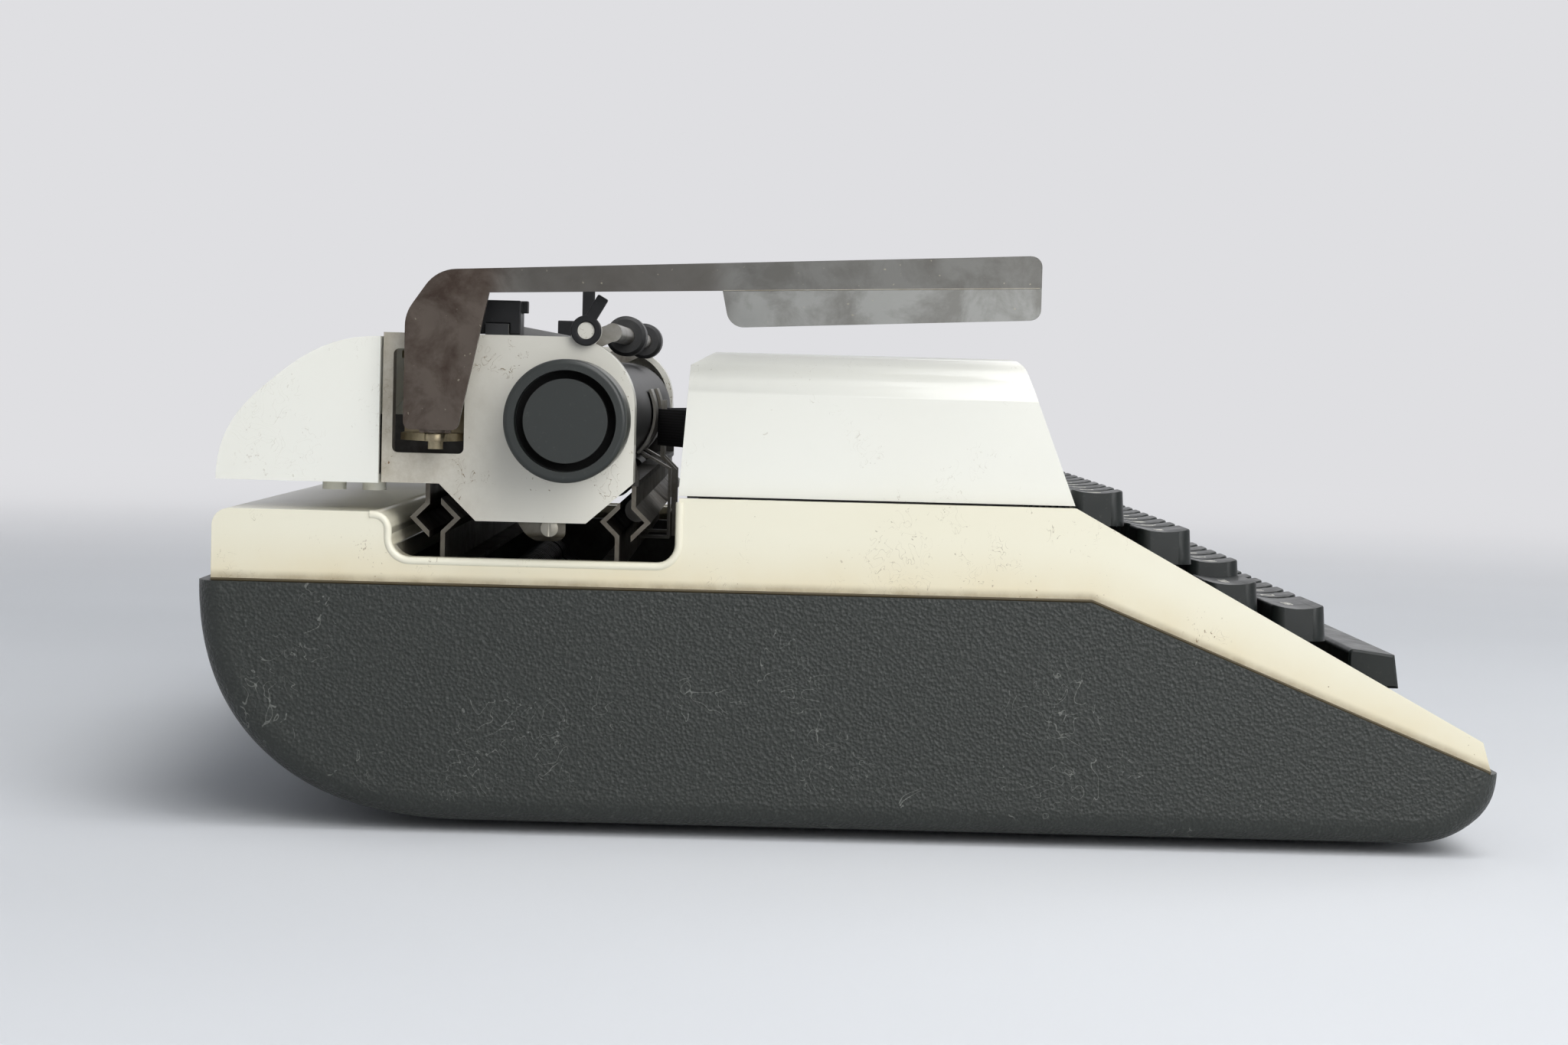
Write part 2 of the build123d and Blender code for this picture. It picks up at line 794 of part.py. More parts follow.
# Space bar: one long cap on a bent steel frame that turns on the fulcrum rod
bar_y = space_front_y + space_depth / 2
with BuildPart() as space_bar:
    with BuildSketch(side_plane(-space_length / 2)) as bar_side:
        with BuildLine():
            Polyline(
                (space_front_y - key_edge_radius, space_top_z - space_height),
                (space_front_y + key_edge_radius, space_top_z - key_edge_radius),
                (space_front_y + space_depth, space_top_z + key_dish_depth),
                (space_front_y + space_depth, space_top_z - space_height),
                close=True,
            )
        make_face()
        fillet(bar_side.vertices().group_by(Axis.Y)[-1], space_radius / 2)
    extrude(amount=space_length)
    chamfer(space_bar.faces().filter_by(Axis.X).edges(), key_edge_radius)
save(space_bar, "space_bar")
rod_z = lever_run_z + space_frame_rise
with BuildPart() as space_frame:
    for side in (-1, 1):
        with BuildSketch(side_plane(side * space_arm_x - lever_sheet / 2)):
            half = lever_depth / 2
            elbow_y = fulcrum_y - lever_elbow_back
            with BuildLine():
                Polyline(
                    (bar_y - lever_sheet, rod_z - half),
                    (elbow_y + half, lever_run_z - half),
                    (fulcrum_y, fulcrum_z - half),
                    (fulcrum_y, fulcrum_z + half),
                    (elbow_y - half, lever_run_z + half),
                    (bar_y - lever_sheet, rod_z + half),
                    close=True,
                )
            make_face()
            with Locations((fulcrum_y, fulcrum_z)):
                Circle(fulcrum_eye)
                Circle(fulcrum_radius + running_gap, mode=Mode.SUBTRACT)
        extrude(amount=lever_sheet)
    with BuildSketch(side_plane(-space_arm_x)):
        with Locations((bar_y, rod_z)):
            Rectangle(lever_sheet, lever_depth)
    extrude(amount=2 * space_arm_x)
    with BuildSketch(Plane.XY.offset(rod_z)):
        with GridLocations(space_length * space_post_share, 0, 2, 1):
            with Locations((0, bar_y)):
                Rectangle(2 * stem_depth, lever_sheet)
    extrude(amount=space_top_z - space_height - rod_z)
save(space_frame, "space_bar_frame")

# Backspace key: wide cap at the right end of the top row
with BuildPart() as backspace_key:
    back_left = column_x(12) + key_pitch - key_width / 2
    put_cap(key_cap(end_x - back_left), (back_left + end_x) / 2, 0, 0)
    with BuildSketch(side_plane(column_x(13) - lever_sheet / 2)):
        lever_section(0, 0)
    extrude(amount=lever_sheet)
save(backspace_key, "backspace_key")

# Type basket: all typebars strike one point just ahead of the platen
strike_y = platen_y - platen_radius - print_gap
strike = (0, strike_y, platen_z)
lean = math.radians(strike_lean)
basket = Plane(origin=strike, x_dir=(1, 0, 0), z_dir=(0, -math.sin(lean), math.cos(lean)))
slot_width = typebar_sheet + 2 * typebar_clearance
first_angle = 270 - basket_spread / 2
typebar_step = basket_spread / (typebar_count - 1)
segment_inner = typebar_length - segment_inner_margin
segment_outer = typebar_length + segment_outer_margin

with BuildPart() as type_segment:
    with BuildSketch(basket.offset(-segment_back)):
        Circle(segment_outer)
        Circle(segment_inner, mode=Mode.SUBTRACT)
        wedge = math.radians(segment_arc / 2)
        with BuildLine():
            Polyline(
                (0, 0),
                (-2 * segment_outer * math.sin(wedge), -2 * segment_outer * math.cos(wedge)),
                (2 * segment_outer * math.sin(wedge), -2 * segment_outer * math.cos(wedge)),
                close=True,
            )
        make_face(mode=Mode.INTERSECT)
        slot_reach = 2 * typebar_root + segment_inner_margin + typebar_root
        slot_middle = segment_inner - typebar_root + slot_reach / 2
        with PolarLocations(slot_middle, typebar_count, first_angle, basket_spread, endpoint=True):
            Rectangle(slot_reach, slot_width, mode=Mode.SUBTRACT)
    extrude(amount=segment_back + segment_front)
    for side in (-1, 1):
        wing_in = segment_outer * math.sin(wedge) - wing_depth
        wing_out = frame_x - frame_sheet / 2 - fit_gap
        wing_y = trough_front_y
        wing_z = frame_top_z + wing_height
        with BuildSketch(Plane.XZ.offset(-wing_y)):
            with Locations((side * (wing_in + wing_out) / 2, wing_z)):
                Rectangle(wing_out - wing_in, wing_height)
            with Locations((side * (wing_out - wing_leg_sheet / 2), wing_z - wing_leg_drop / 2)):
                Rectangle(wing_leg_sheet, wing_leg_drop)
        extrude(amount=wing_depth)
save(type_segment, "type_segment")


def typebar_plane(angle):
    """Plane of one typebar: x along the bar at rest, origin at its pivot."""
    turn = math.radians(angle)
    pivot = basket.from_local_coords((typebar_length * math.cos(turn), typebar_length * math.sin(turn), 0))
    outward = basket.x_dir * math.cos(turn) + basket.y_dir * math.sin(turn)
    swing = math.radians(rest_turn)
    along = outward * -math.cos(swing) + basket.z_dir * math.sin(swing)
    across = basket.y_dir * math.cos(turn) - basket.x_dir * math.sin(turn)
    return Plane(origin=pivot, x_dir=along, z_dir=across)


def typebar_section():
    """Side view of a typebar: round root with its pivot hole and a thin arm."""
    Circle(typebar_root)
    with Locations((typebar_length / 2, 0)):
        Rectangle(typebar_length, typebar_depth)
    Circle(segment_wire_radius, mode=Mode.SUBTRACT)


def slug_section():
    """Side view of the type slug at the arm's end."""
    with Locations((typebar_length + slug_length / 2 - typebar_depth, 0)):
        Rectangle(slug_length, slug_depth)


angles = [first_angle + bar * typebar_step for bar in range(typebar_count)]
struck_angle = angles.pop(typebar_count // 2)
for name, group in (("typebars", angles), ("struck_typebar", [struck_angle])):
    with BuildPart() as bars:
        for angle in group:
            plane = typebar_plane(angle)
            with BuildSketch(plane):
                typebar_section()
            extrude(amount=typebar_sheet / 2, both=True)
            with BuildSketch(plane):
                slug_section()
            extrude(amount=slug_width / 2, both=True)
    save(bars, name)

# Spool cups: shallow dishes on arms from the side frames, each with a guide post
cup_top = spool_floor_z - cup_floor_drop
frame_outer = frame_x + frame_sheet / 2
with BuildPart() as spool_cups:
    for side in (-1, 1):
        with BuildSketch(Plane.XY.offset(cup_top - cup_wall)):
            with Locations((side * spool_x, spool_y)):
                Circle(cup_radius)
            with Locations((side * (spool_x + frame_outer) / 2, spool_y)):
                Rectangle(frame_outer - spool_x, cup_arm_width)
            strip = Vector(side * (post_x - spool_x), post_y - spool_y)
            strip_turn = math.degrees(math.atan2(strip.Y, strip.X))
            with Locations(Location((side * (post_x + spool_x) / 2, (post_y + spool_y) / 2), strip_turn)):
                SlotCenterToCenter(strip.length, cup_strip_width)
        extrude(amount=cup_wall)
        with BuildSketch(Plane.XY.offset(cup_top)):
            with Locations((side * spool_x, spool_y)):
                Circle(cup_radius)
                Circle(cup_radius - cup_wall, mode=Mode.SUBTRACT)
        extrude(amount=cup_wall)
        with BuildSketch(Plane.XY.offset(frame_neck_z)):
            with Locations((side * frame_x, spool_y)):
                Rectangle(frame_sheet, cup_arm_width)
        extrude(amount=cup_top - frame_neck_z)
        with BuildSketch(Plane.XY.offset(cup_top - cup_wall)):
            with Locations((side * spool_x, spool_y)):
                Circle(spindle_radius)
            with Locations((side * post_x, post_y)):
                Circle(post_radius)
        extrude(amount=spool_height + cup_wall + cup_floor_drop)
save(spool_cups, "spool_cups")

# Ribbon spools: a hub between two thin flanges
for side, name in ((-1, "spool_left"), (1, "spool_right")):
    with BuildPart() as spool:
        with BuildSketch(Plane.XY.offset(spool_floor_z)):
            with Locations((side * spool_x, spool_y)):
                Circle(spool_radius)
        extrude(amount=spool_flange)
        with BuildSketch(Plane.XY.offset(spool_floor_z + spool_height - spool_flange)):
            with Locations((side * spool_x, spool_y)):
                Circle(spool_radius)
                with PolarLocations((spool_radius + spool_hub_radius) / 2, 3):
                    Circle(spool_hub_radius * spool_hole_share, mode=Mode.SUBTRACT)
        extrude(amount=spool_flange)
        with BuildSketch(Plane.XY.offset(spool_floor_z)):
            with Locations((side * spool_x, spool_y)):
                Circle(spool_hub_radius)
        extrude(amount=spool_height)
        with BuildSketch(Plane.XY.offset(spool_floor_z)):
            with Locations((side * spool_x, spool_y)):
                Circle(spindle_radius + running_gap)
        extrude(amount=spool_height, mode=Mode.SUBTRACT)
    save(spool, name)

# Ribbon: two wound packs and the band that runs past the printing point
band_low = spool_floor_z + spool_flange + fit_gap
band_height = spool_height - 2 * spool_flange - 2 * fit_gap
band_y = platen_y - platen_radius - ribbon_clear
post_clear = post_radius + fit_gap + ribbon_sheet
half_route = [
    (print_half_width, band_y),
    (post_x, post_y + post_clear),
    (spool_x, spool_y + wound_radius - ribbon_sheet),
]
route = [(-x, y) for x, y in reversed(half_route)] + half_route
with BuildPart() as ribbon:
    with BuildSketch(Plane.XY.offset(band_low)):
        with BuildLine():
            Polyline(*route, *[(x, y - ribbon_sheet) for x, y in reversed(route)], close=True)
        make_face()
        with GridLocations(2 * spool_x, 0, 2, 1):
            with Locations((0, spool_y)):
                Circle(wound_radius)
        with GridLocations(2 * spool_x, 0, 2, 1):
            with Locations((0, spool_y)):
                Circle(spool_hub_radius + fit_gap, mode=Mode.SUBTRACT)
    extrude(amount=band_height)
save(ribbon, "ribbon")

# Card guides: two curved plates that hold the paper to the platen, on a bracket
guide_leg_y = front_rail_y - rail_half_diagonal - 3 * fit_gap
guide_foot_z = frame_top_z + 2 * rail_sheet
guide_outer = platen_radius + guide_gap + guide_sheet
arc_end = (platen_y - guide_outer / math.sqrt(2), platen_z - guide_outer / math.sqrt(2))
with BuildPart() as card_guides:
    for side in (-1, 1):
        guide_left = side * (guide_inner_x + guide_width / 2) - guide_width / 2
        with BuildSketch(side_plane(guide_left)):
            with Locations((platen_y, platen_z)):
                Circle(guide_outer)
                Circle(guide_outer - guide_sheet, mode=Mode.SUBTRACT)
            with BuildLine():
                Polyline(
                    (platen_y, platen_z),
                    (platen_y - 2 * platen_radius, platen_z + platen_radius),
                    (platen_y - 2 * platen_radius, platen_z - 2 * platen_radius),
                    close=True,
                )
            make_face(mode=Mode.INTERSECT)
        extrude(amount=guide_width)
        leg_left = side * (guide_inner_x + guide_leg_width / 2) - guide_leg_width / 2
        with BuildSketch(side_plane(leg_left)):
            with BuildLine():
                Polyline(
                    (arc_end[0] + guide_sheet, arc_end[1] + guide_sheet / 2),
                    (arc_end[0], arc_end[1] + guide_sheet),
                    (guide_leg_y, carriage_floor_z + guide_sheet),
                    (guide_leg_y, guide_foot_z),
                    (front_rail_y + rail_split, guide_foot_z),
                    (front_rail_y + rail_split, guide_foot_z + guide_sheet),
                    (guide_leg_y + guide_sheet, guide_foot_z + guide_sheet),
                    (guide_leg_y + guide_sheet, carriage_floor_z + guide_sheet / 2),
                    close=True,
                )
            make_face()
        extrude(amount=guide_leg_width)
    with BuildSketch(side_plane(-guide_inner_x)):
        with Locations((guide_leg_y + guide_sheet / 2, guide_foot_z + vibrator_lift / 2)):
            Rectangle(guide_sheet, vibrator_lift)
    extrude(amount=2 * guide_inner_x)
save(card_guides, "card_guides")

# Ribbon vibrator: a fork that lifts the ribbon at each stroke
fork_rear = guide_leg_y - fit_gap
fork_low = guide_foot_z + fit_gap
prong_top = band_low + band_height + vibrator_lift * prong_share
with BuildPart() as vibrator:
    for side in (-1, 1):
        with BuildSketch(side_plane(side * vibrator_prong_x - vibrator_prong_width / 2)):
            with BuildLine():
                Polyline(
                    (fork_rear, fork_low),
                    (fork_rear, carriage_floor_z),
                    (fork_rear + vibrator_lean, carriage_floor_z + vibrator_lean),
                    (fork_rear + vibrator_lean, prong_top),
                    (fork_rear + vibrator_lean - vibrator_sheet, prong_top),
                    (fork_rear + vibrator_lean - vibrator_sheet, carriage_floor_z + vibrator_lean),
                    (fork_rear - vibrator_sheet, carriage_floor_z),
                    (fork_rear - vibrator_sheet, fork_low),
                    close=True,
                )
            make_face()
        extrude(amount=vibrator_prong_width)
    with BuildSketch(side_plane(-vibrator_prong_x)):
        with Locations((fork_rear - vibrator_sheet / 2, fork_low + vibrator_lift / 2)):
            Rectangle(vibrator_sheet, vibrator_lift)
    extrude(amount=2 * vibrator_prong_x)
save(vibrator, "ribbon_vibrator")

# Mainspring drum on a spindle over the rear tie rod
drum_y = frame_rear_y - 2 * tie_radius
drum_low = fulcrum_z - frame_flange + tie_radius + frame_sheet
with BuildPart() as drum:
    with BuildSketch(Plane.XY.offset(drum_low)):
        with Locations((drum_x, drum_y)):
            Circle(drum_radius)
            Circle(fulcrum_radius + running_gap, mode=Mode.SUBTRACT)
            with PolarLocations(drum_radius * drum_hole_share, 5):
                Circle(drum_radius / 6, mode=Mode.SUBTRACT)
    extrude(amount=drum_height)
save(drum, "mainspring_drum")

# Carriage frame: two end plates joined by floor bars, with the platen's bearings
plate_outer = carriage_half - end_cover_depth
plate_inner = plate_outer - frame_plate
front_bar_y = front_rail_y - bench_ahead
rear_bar_y = rear_rail_y + bench_behind
end_front_y = platen_y - end_ahead
end_rear_y = platen_y + end_behind
end_top_z = platen_z + end_above
bail_pivot = (platen_y + bail_pivot_behind, platen_z + bail_pivot_above)
lean_turn = math.radians(feed_roller_lean)
feed_reach = platen_radius + feed_roller_radius + fit_gap
feed_y = platen_y + feed_reach * math.cos(lean_turn)
feed_z = platen_z + feed_reach * math.sin(lean_turn)
fairing_low_z = deck_z + fairing_low_above_deck
with BuildPart() as carriage_frame:
    for side in (-1, 1):
        with BuildSketch(side_plane(side * (plate_inner + frame_plate / 2) - frame_plate / 2)):
            with BuildLine():
                Polyline(
                    (front_bar_y, carriage_floor_z),
                    (front_bar_y, carriage_floor_z + frame_plate),
                    (end_front_y + frame_plate, platen_z),
                    (platen_y - frame_plate, end_top_z - 2 * frame_plate),
                    (rear_bar_y, end_top_z - 2 * frame_plate),
                    (rear_bar_y, platen_z),
                    (end_rear_y + fairing_reach / 2, platen_z),
                    (end_rear_y + fairing_reach / 2, fairing_low_z + fairing_wall),
                    (rear_bar_y + fit_gap, fairing_low_z + fairing_wall),
                    (rear_bar_y, carriage_floor_z),
                    close=True,
                )
            make_face()
            with Locations((platen_y, platen_z)):
                Circle(shaft_radius + running_gap, mode=Mode.SUBTRACT)
        extrude(amount=frame_plate)
        with BuildSketch(side_plane(side * (plate_inner - frame_plate / 2) - frame_plate / 2)):
            with Locations(bail_pivot):
                Circle(bail_pin_radius)
        extrude(amount=frame_plate)
        holder_x = side * (feed_roller_spacing / 2 + feed_roller_length / 2 + 2 * bail_sheet)
        with BuildSketch(side_plane(holder_x - bail_sheet / 2)):
            with Locations((feed_y, feed_z)):
                Circle(2 * feed_shaft_radius)
            with BuildLine():
                Polyline(
                    (front_bar_y, carriage_floor_z),
                    (front_bar_y + bench_behind, carriage_floor_z),
                    (feed_y, feed_z - feed_shaft_radius),
                    (feed_y, feed_z + 2 * feed_shaft_radius),
                    (front_bar_y, carriage_floor_z + bail_sheet),
                    close=True,
                )
            make_face()
            with Locations((feed_y, feed_z)):
                Circle(feed_shaft_radius + running_gap, mode=Mode.SUBTRACT)
        extrude(amount=bail_sheet)
    with BuildSketch(side_plane(-plate_inner)):
        for bar_low_y in (front_bar_y, rear_bar_y - bench_behind):
            with Locations((bar_low_y + bench_behind / 2, carriage_floor_z + bail_sheet / 2)):
                Rectangle(bench_behind, bail_sheet)
    extrude(amount=2 * plate_inner)
save(carriage_frame, "carriage_frame")


def end_profile(inset):
    """Side profile of a carriage end cover, moved inwards by a wall thickness."""
    low = platen_z - end_below + inset
    rear_low = platen_z - end_rear_low + inset
    rear = end_rear_y - inset
    front = end_front_y + inset
    with BuildLine() as outline:
        Polyline(
            (front, low + end_front_low_rise),
            (front, end_top_z - inset),
            (rear, end_top_z - inset),
            (rear, rear_low),
            (end_rear_y - end_rear_low_run + end_rear_step_run, rear_low),
            (end_rear_y - end_rear_low_run, low),
            (end_front_y + end_front_low_run, low),
            close=True,
        )
    make_face(outline.edges())


# Carriage end covers: open boxes over the ends; the left one has a window for the return lever
space_pin = (platen_y - space_boss_ahead, platen_z + space_boss_above)
release_pin = (platen_y + release_behind, platen_z + release_above)
for side, name in ((-1, "end_cover_left"), (1, "end_cover_right")):
    outer_left = min(side * carriage_half, side * plate_outer)
    inner_left = outer_left + end_cover_wall * (1 - side) / 2
    with BuildPart() as end_cover:
        with BuildSketch(side_plane(outer_left)) as end_side:
            end_profile(0)
            top_front = end_side.vertices().group_by(Axis.Y)[-1].sort_by(Axis.X)[0]
            fillet(top_front, end_front_round)
        extrude(amount=end_cover_depth)
        with BuildSketch(side_plane(inner_left)) as end_inside:
            end_profile(end_cover_wall)
            top_front = end_inside.vertices().group_by(Axis.Y)[-1].sort_by(Axis.X)[0]
            fillet(top_front, end_front_round - end_cover_wall)
        extrude(amount=end_cover_depth - end_cover_wall, mode=Mode.SUBTRACT)
        face_left = side * (carriage_half - end_cover_wall / 2) - end_cover_wall / 2
        pin_left = side * (carriage_half + end_cover_wall / 2) - end_cover_wall / 2
        with BuildSketch(side_plane(face_left)):
            with Locations((platen_y, platen_z)):
                Circle(shaft_radius + end_cover_wall / 2)
            if side < 0:
                window_middle = platen_y + (window_rear + window_front) / 2
                with Locations((window_middle, platen_z + (window_top - window_bottom) / 2)):
                    RectangleRounded(window_rear - window_front, window_top + window_bottom, window_radius)
        extrude(amount=end_cover_wall, mode=Mode.SUBTRACT)
        if side < 0:
            with BuildSketch(side_plane(face_left)):
                with Locations(space_pin):
                    Circle(space_boss_radius)
                with Locations((space_pin[0] + space_boss_radius / 2, end_top_z)):
                    Rectangle(space_boss_radius, space_boss_radius)
            extrude(amount=end_cover_wall)
        with BuildSketch(side_plane(pin_left)):
            with Locations(space_pin if side < 0 else release_pin):
                Circle(space_pin_radius)
        extrude(amount=end_cover_wall)
    save(end_cover, name)

# Rear fairing: curved cover behind the carriage, open to the front, on four short glides
fairing_y = end_rear_y + fairing_front_gap
fairing_top_z = fairing_low_z + fairing_height
fairing_half = fairing_width / 2


def fairing_profile(inset):
    """Side profile of the rear fairing, moved inwards by a wall thickness."""
    rear = fairing_y + fairing_reach - inset
    top = fairing_top_z - inset
    with BuildLine() as outline:
        floor = Line((rear, fairing_low_z + inset), (fairing_y - inset, fairing_low_z + inset))
        front = Line(floor @ 1, (fairing_y - inset, top))
        crown_y_share, crown_z_share = 0.675, 0.32
        crown = (fairing_y + fairing_reach * crown_y_share - inset / 2, top - fairing_height * crown_z_share)
        Spline(front @ 1, crown, floor @ 0, tangents=((1, 0), (0, -1)))
    make_face(outline.edges())


with BuildPart() as rear_fairing:
    with BuildSketch(side_plane(-fairing_half)):
        fairing_profile(0)
    extrude(amount=fairing_width)
    with BuildSketch(side_plane(-fairing_half + fairing_wall)):
        fairing_profile(fairing_wall)
    extrude(amount=fairing_width - 2 * fairing_wall, mode=Mode.SUBTRACT)
    with BuildSketch(Plane.XY.offset(fairing_low_z)):
        with Locations((0, fairing_y + (fairing_reach - fairing_wall) / 2 - fairing_wall)):
            Rectangle(2 * (bumper_x - 2 * bumper_radius), fairing_reach - fairing_wall)
    extrude(amount=fairing_wall, mode=Mode.SUBTRACT)
    with BuildSketch(Plane.XY.offset(fairing_low_z - bumper_height)):
        with GridLocations(2 * bumper_x, fairing_reach / 4, 2, 2):
            with Locations((0, fairing_y + fairing_reach * fairing_rib_share)):
                Circle(bumper_radius)
    extrude(amount=bumper_height)
save(rear_fairing, "rear_fairing")

# Paper table: thin sheet that guides the paper round behind the platen
table_inner = platen_radius + table_gap
table_top = (platen_y + table_rear_behind, platen_z + table_rear_above)
barrel_radius = support_sheet * support_barrel_share
flap_axis = (table_top[0] + table_sheet + barrel_radius + fit_gap, table_top[1])
with BuildPart() as paper_table:
    with BuildSketch(side_plane(-plate_inner)):
        with Locations((platen_y, platen_z)):
            Circle(table_inner + table_sheet)
            Circle(table_inner, mode=Mode.SUBTRACT)
        with BuildLine():
            Polyline(
                (platen_y, platen_z),
                (platen_y, platen_z - 2 * platen_radius),
                (platen_y + 2 * platen_radius, platen_z - 2 * platen_radius),
                (platen_y + 2 * platen_radius, platen_z),
                close=True,
            )
        make_face(mode=Mode.INTERSECT)
        with BuildLine():
            Polyline(
                (platen_y + table_inner, platen_z),
                (platen_y + table_inner + table_sheet, platen_z - table_sheet),
                (table_top[0] + table_sheet, table_top[1]),
                table_top,
                close=True,
            )
        make_face()
    extrude(amount=2 * plate_inner)
    ear_places = (-support_half - 2 * support_sheet, support_half + support_sheet)
    for left in ear_places:
        with BuildSketch(side_plane(left)):
            with Locations(flap_axis):
                Circle(2 * support_sheet)
        extrude(amount=support_sheet)
    with BuildSketch(side_plane(ear_places[0])):
        with Locations(flap_axis):
            Circle(support_sheet / 2)
    extrude(amount=ear_places[1] - ear_places[0])
save(paper_table, "paper_table")

# Paper support: small flap that folds out behind the paper table
with BuildPart() as paper_support:
    with BuildSketch(side_plane(-support_half)):
        with Locations(flap_axis):
            Circle(barrel_radius)
        with Locations((flap_axis[0] + support_depth / 2, flap_axis[1] + support_sheet / 2)):
            Rectangle(support_depth, support_sheet)
        with Locations(flap_axis):
            Circle(support_sheet / 2 + running_gap, mode=Mode.SUBTRACT)
    extrude(amount=2 * support_half)
save(paper_support, "paper_support")

# Platen: rubber roll on a core, its steel shaft and the two knobs
with BuildPart() as platen:
    with BuildSketch(side_plane(-platen_length / 2)):
        with Locations((platen_y, platen_z)):
            Circle(platen_radius)
            Circle(shaft_radius, mode=Mode.SUBTRACT)
    extrude(amount=platen_length)
    for left in (-platen_length / 2, platen_length / 2 - table_sheet):
        with BuildSketch(side_plane(left)):
            with Locations((platen_y, platen_z)):
                Circle(platen_core_radius)
                Circle(shaft_radius, mode=Mode.SUBTRACT)
        extrude(amount=table_sheet, mode=Mode.SUBTRACT)
save(platen, "platen")
shaft_half = knob_reach - knob_length / 2
with BuildPart() as platen_shaft:
    with BuildSketch(side_plane(-shaft_half)):
        with Locations((platen_y, platen_z)):
            Circle(shaft_radius)
    extrude(amount=2 * shaft_half)
save(platen_shaft, "platen_shaft")
for side, name in ((-1, "knob_left"), (1, "knob_right")):
    with BuildPart() as knob:
        with BuildSketch(side_plane(side * (knob_reach - knob_length / 2) - knob_length / 2)):
            with Locations((platen_y, platen_z)):
                Circle(knob_radius)
        extrude(amount=knob_length)
        fillet(knob.edges().filter_by(GeomType.CIRCLE), knob_edge_radius)
        groove_middle = side * (knob_reach - knob_groove_depth / 2)
        with BuildSketch(side_plane(groove_middle - knob_groove_depth / 2)):
            with Locations((platen_y, platen_z)):
                Circle(knob_groove_outer)
                Circle(knob_groove_inner, mode=Mode.SUBTRACT)
        extrude(amount=knob_groove_depth, mode=Mode.SUBTRACT)
        face_middle = side * (knob_reach - knob_face_step / 2)
        with BuildSketch(side_plane(face_middle - knob_face_step / 2)):
            with Locations((platen_y, platen_z)):
                Circle(knob_groove_inner)
        extrude(amount=knob_face_step, mode=Mode.SUBTRACT)
        socket_middle = side * (knob_reach - knob_length * knob_socket_share)
        with BuildSketch(side_plane(socket_middle - knob_length / 4)):
            with Locations((platen_y, platen_z)):
                Circle(shaft_radius)
        extrude(amount=knob_length / 2, mode=Mode.SUBTRACT)
    save(knob, name)

# Feed rollers under the platen, on one shaft
with BuildPart() as feed_rollers:
    for side in (-1, 1):
        with BuildSketch(side_plane(side * feed_roller_spacing / 2 - feed_roller_length / 2)):
            with Locations((feed_y, feed_z)):
                Circle(feed_roller_radius)
        extrude(amount=feed_roller_length)
    feed_half = feed_roller_spacing / 2 + feed_roller_length / 2 + 4 * bail_sheet
    with BuildSketch(side_plane(-feed_half)):
        with Locations((feed_y, feed_z)):
            Circle(feed_shaft_radius)
    extrude(amount=2 * feed_half)
save(feed_rollers, "feed_rollers")

# Paper bail: rod on two arms, with two loose rollers
bail_y = platen_y - bail_ahead
bail_z = platen_z + bail_above
bail_arm_x = plate_inner - bail_sheet * bail_gap_share - bail_sheet / 2
with BuildPart() as bail_frame:
    for side in (-1, 1):
        with BuildSketch(side_plane(side * bail_arm_x - bail_sheet / 2)):
            with BuildLine():
                Polyline(
                    (bail_y, bail_z + bail_rod_radius),
                    (bail_y, bail_z - bail_rod_radius),
                    (bail_pivot[0], bail_pivot[1] - bail_pin_radius * 2),
                    (bail_pivot[0], bail_pivot[1] + bail_pin_radius * 2),
                    close=True,
                )
            make_face()
            with Locations(bail_pivot):
                Circle(bail_pin_radius * 2)
                Circle(bail_pin_radius + running_gap, mode=Mode.SUBTRACT)
        extrude(amount=bail_sheet)
    with BuildSketch(side_plane(-bail_arm_x - bail_sheet / 2)):
        with Locations((bail_y, bail_z)):
            Circle(bail_rod_radius)
    extrude(amount=2 * bail_arm_x + bail_sheet)
save(bail_frame, "bail_frame")
with BuildPart() as bail_rollers:
    for side in (-1, 1):
        with BuildSketch(side_plane(side * bail_roller_x - bail_roller_length / 2)):
            with Locations((bail_y, bail_z)):
                Circle(bail_roller_radius)
                Circle(bail_rod_radius + running_gap, mode=Mode.SUBTRACT)
        extrude(amount=bail_roller_length)
    rims = bail_rollers.edges().filter_by(GeomType.CIRCLE)
    chamfer(rims.filter_by(lambda edge: edge.radius > bail_roller_radius - fit_gap), knob_face_step)
save(bail_rollers, "bail_rollers")

# Margin rail on the end covers, and the two stops that slide on it
margin_y = platen_y + margin_behind
with BuildPart() as margin_rail:
    with BuildSketch(Plane.XY.offset(end_top_z)):
        with Locations((0, margin_y)):
            Rectangle(2 * (carriage_half - knob_face_step), margin_depth)
    extrude(amount=margin_height)
save(margin_rail, "margin_rail")
for side, name in ((-1, "margin_stop_left"), (1, "margin_stop_right")):
    with BuildPart() as stop:
        with BuildSketch(Plane.XY.offset(end_top_z + fit_gap)):
            with Locations((side * (stop_x + stop_width / 2), margin_y)):
                Rectangle(stop_width, stop_depth)
        extrude(amount=stop_height - fit_gap)
        with BuildSketch(Plane.XY.offset(end_top_z + stop_height - 2 * stop_tab)):
            with Locations((side * (stop_x + stop_width / 2), margin_y - stop_depth / 2 - stop_tab / 2)):
                Rectangle(stop_width * stop_tab_share, stop_tab)
        extrude(amount=2 * stop_tab)
        with BuildSketch(Plane.XY.offset(end_top_z)):
            with Locations((side * (stop_x + stop_width / 2), margin_y)):
                Rectangle(stop_width, margin_depth + 2 * running_gap)
        extrude(amount=margin_height + running_gap, mode=Mode.SUBTRACT)
    save(stop, name)

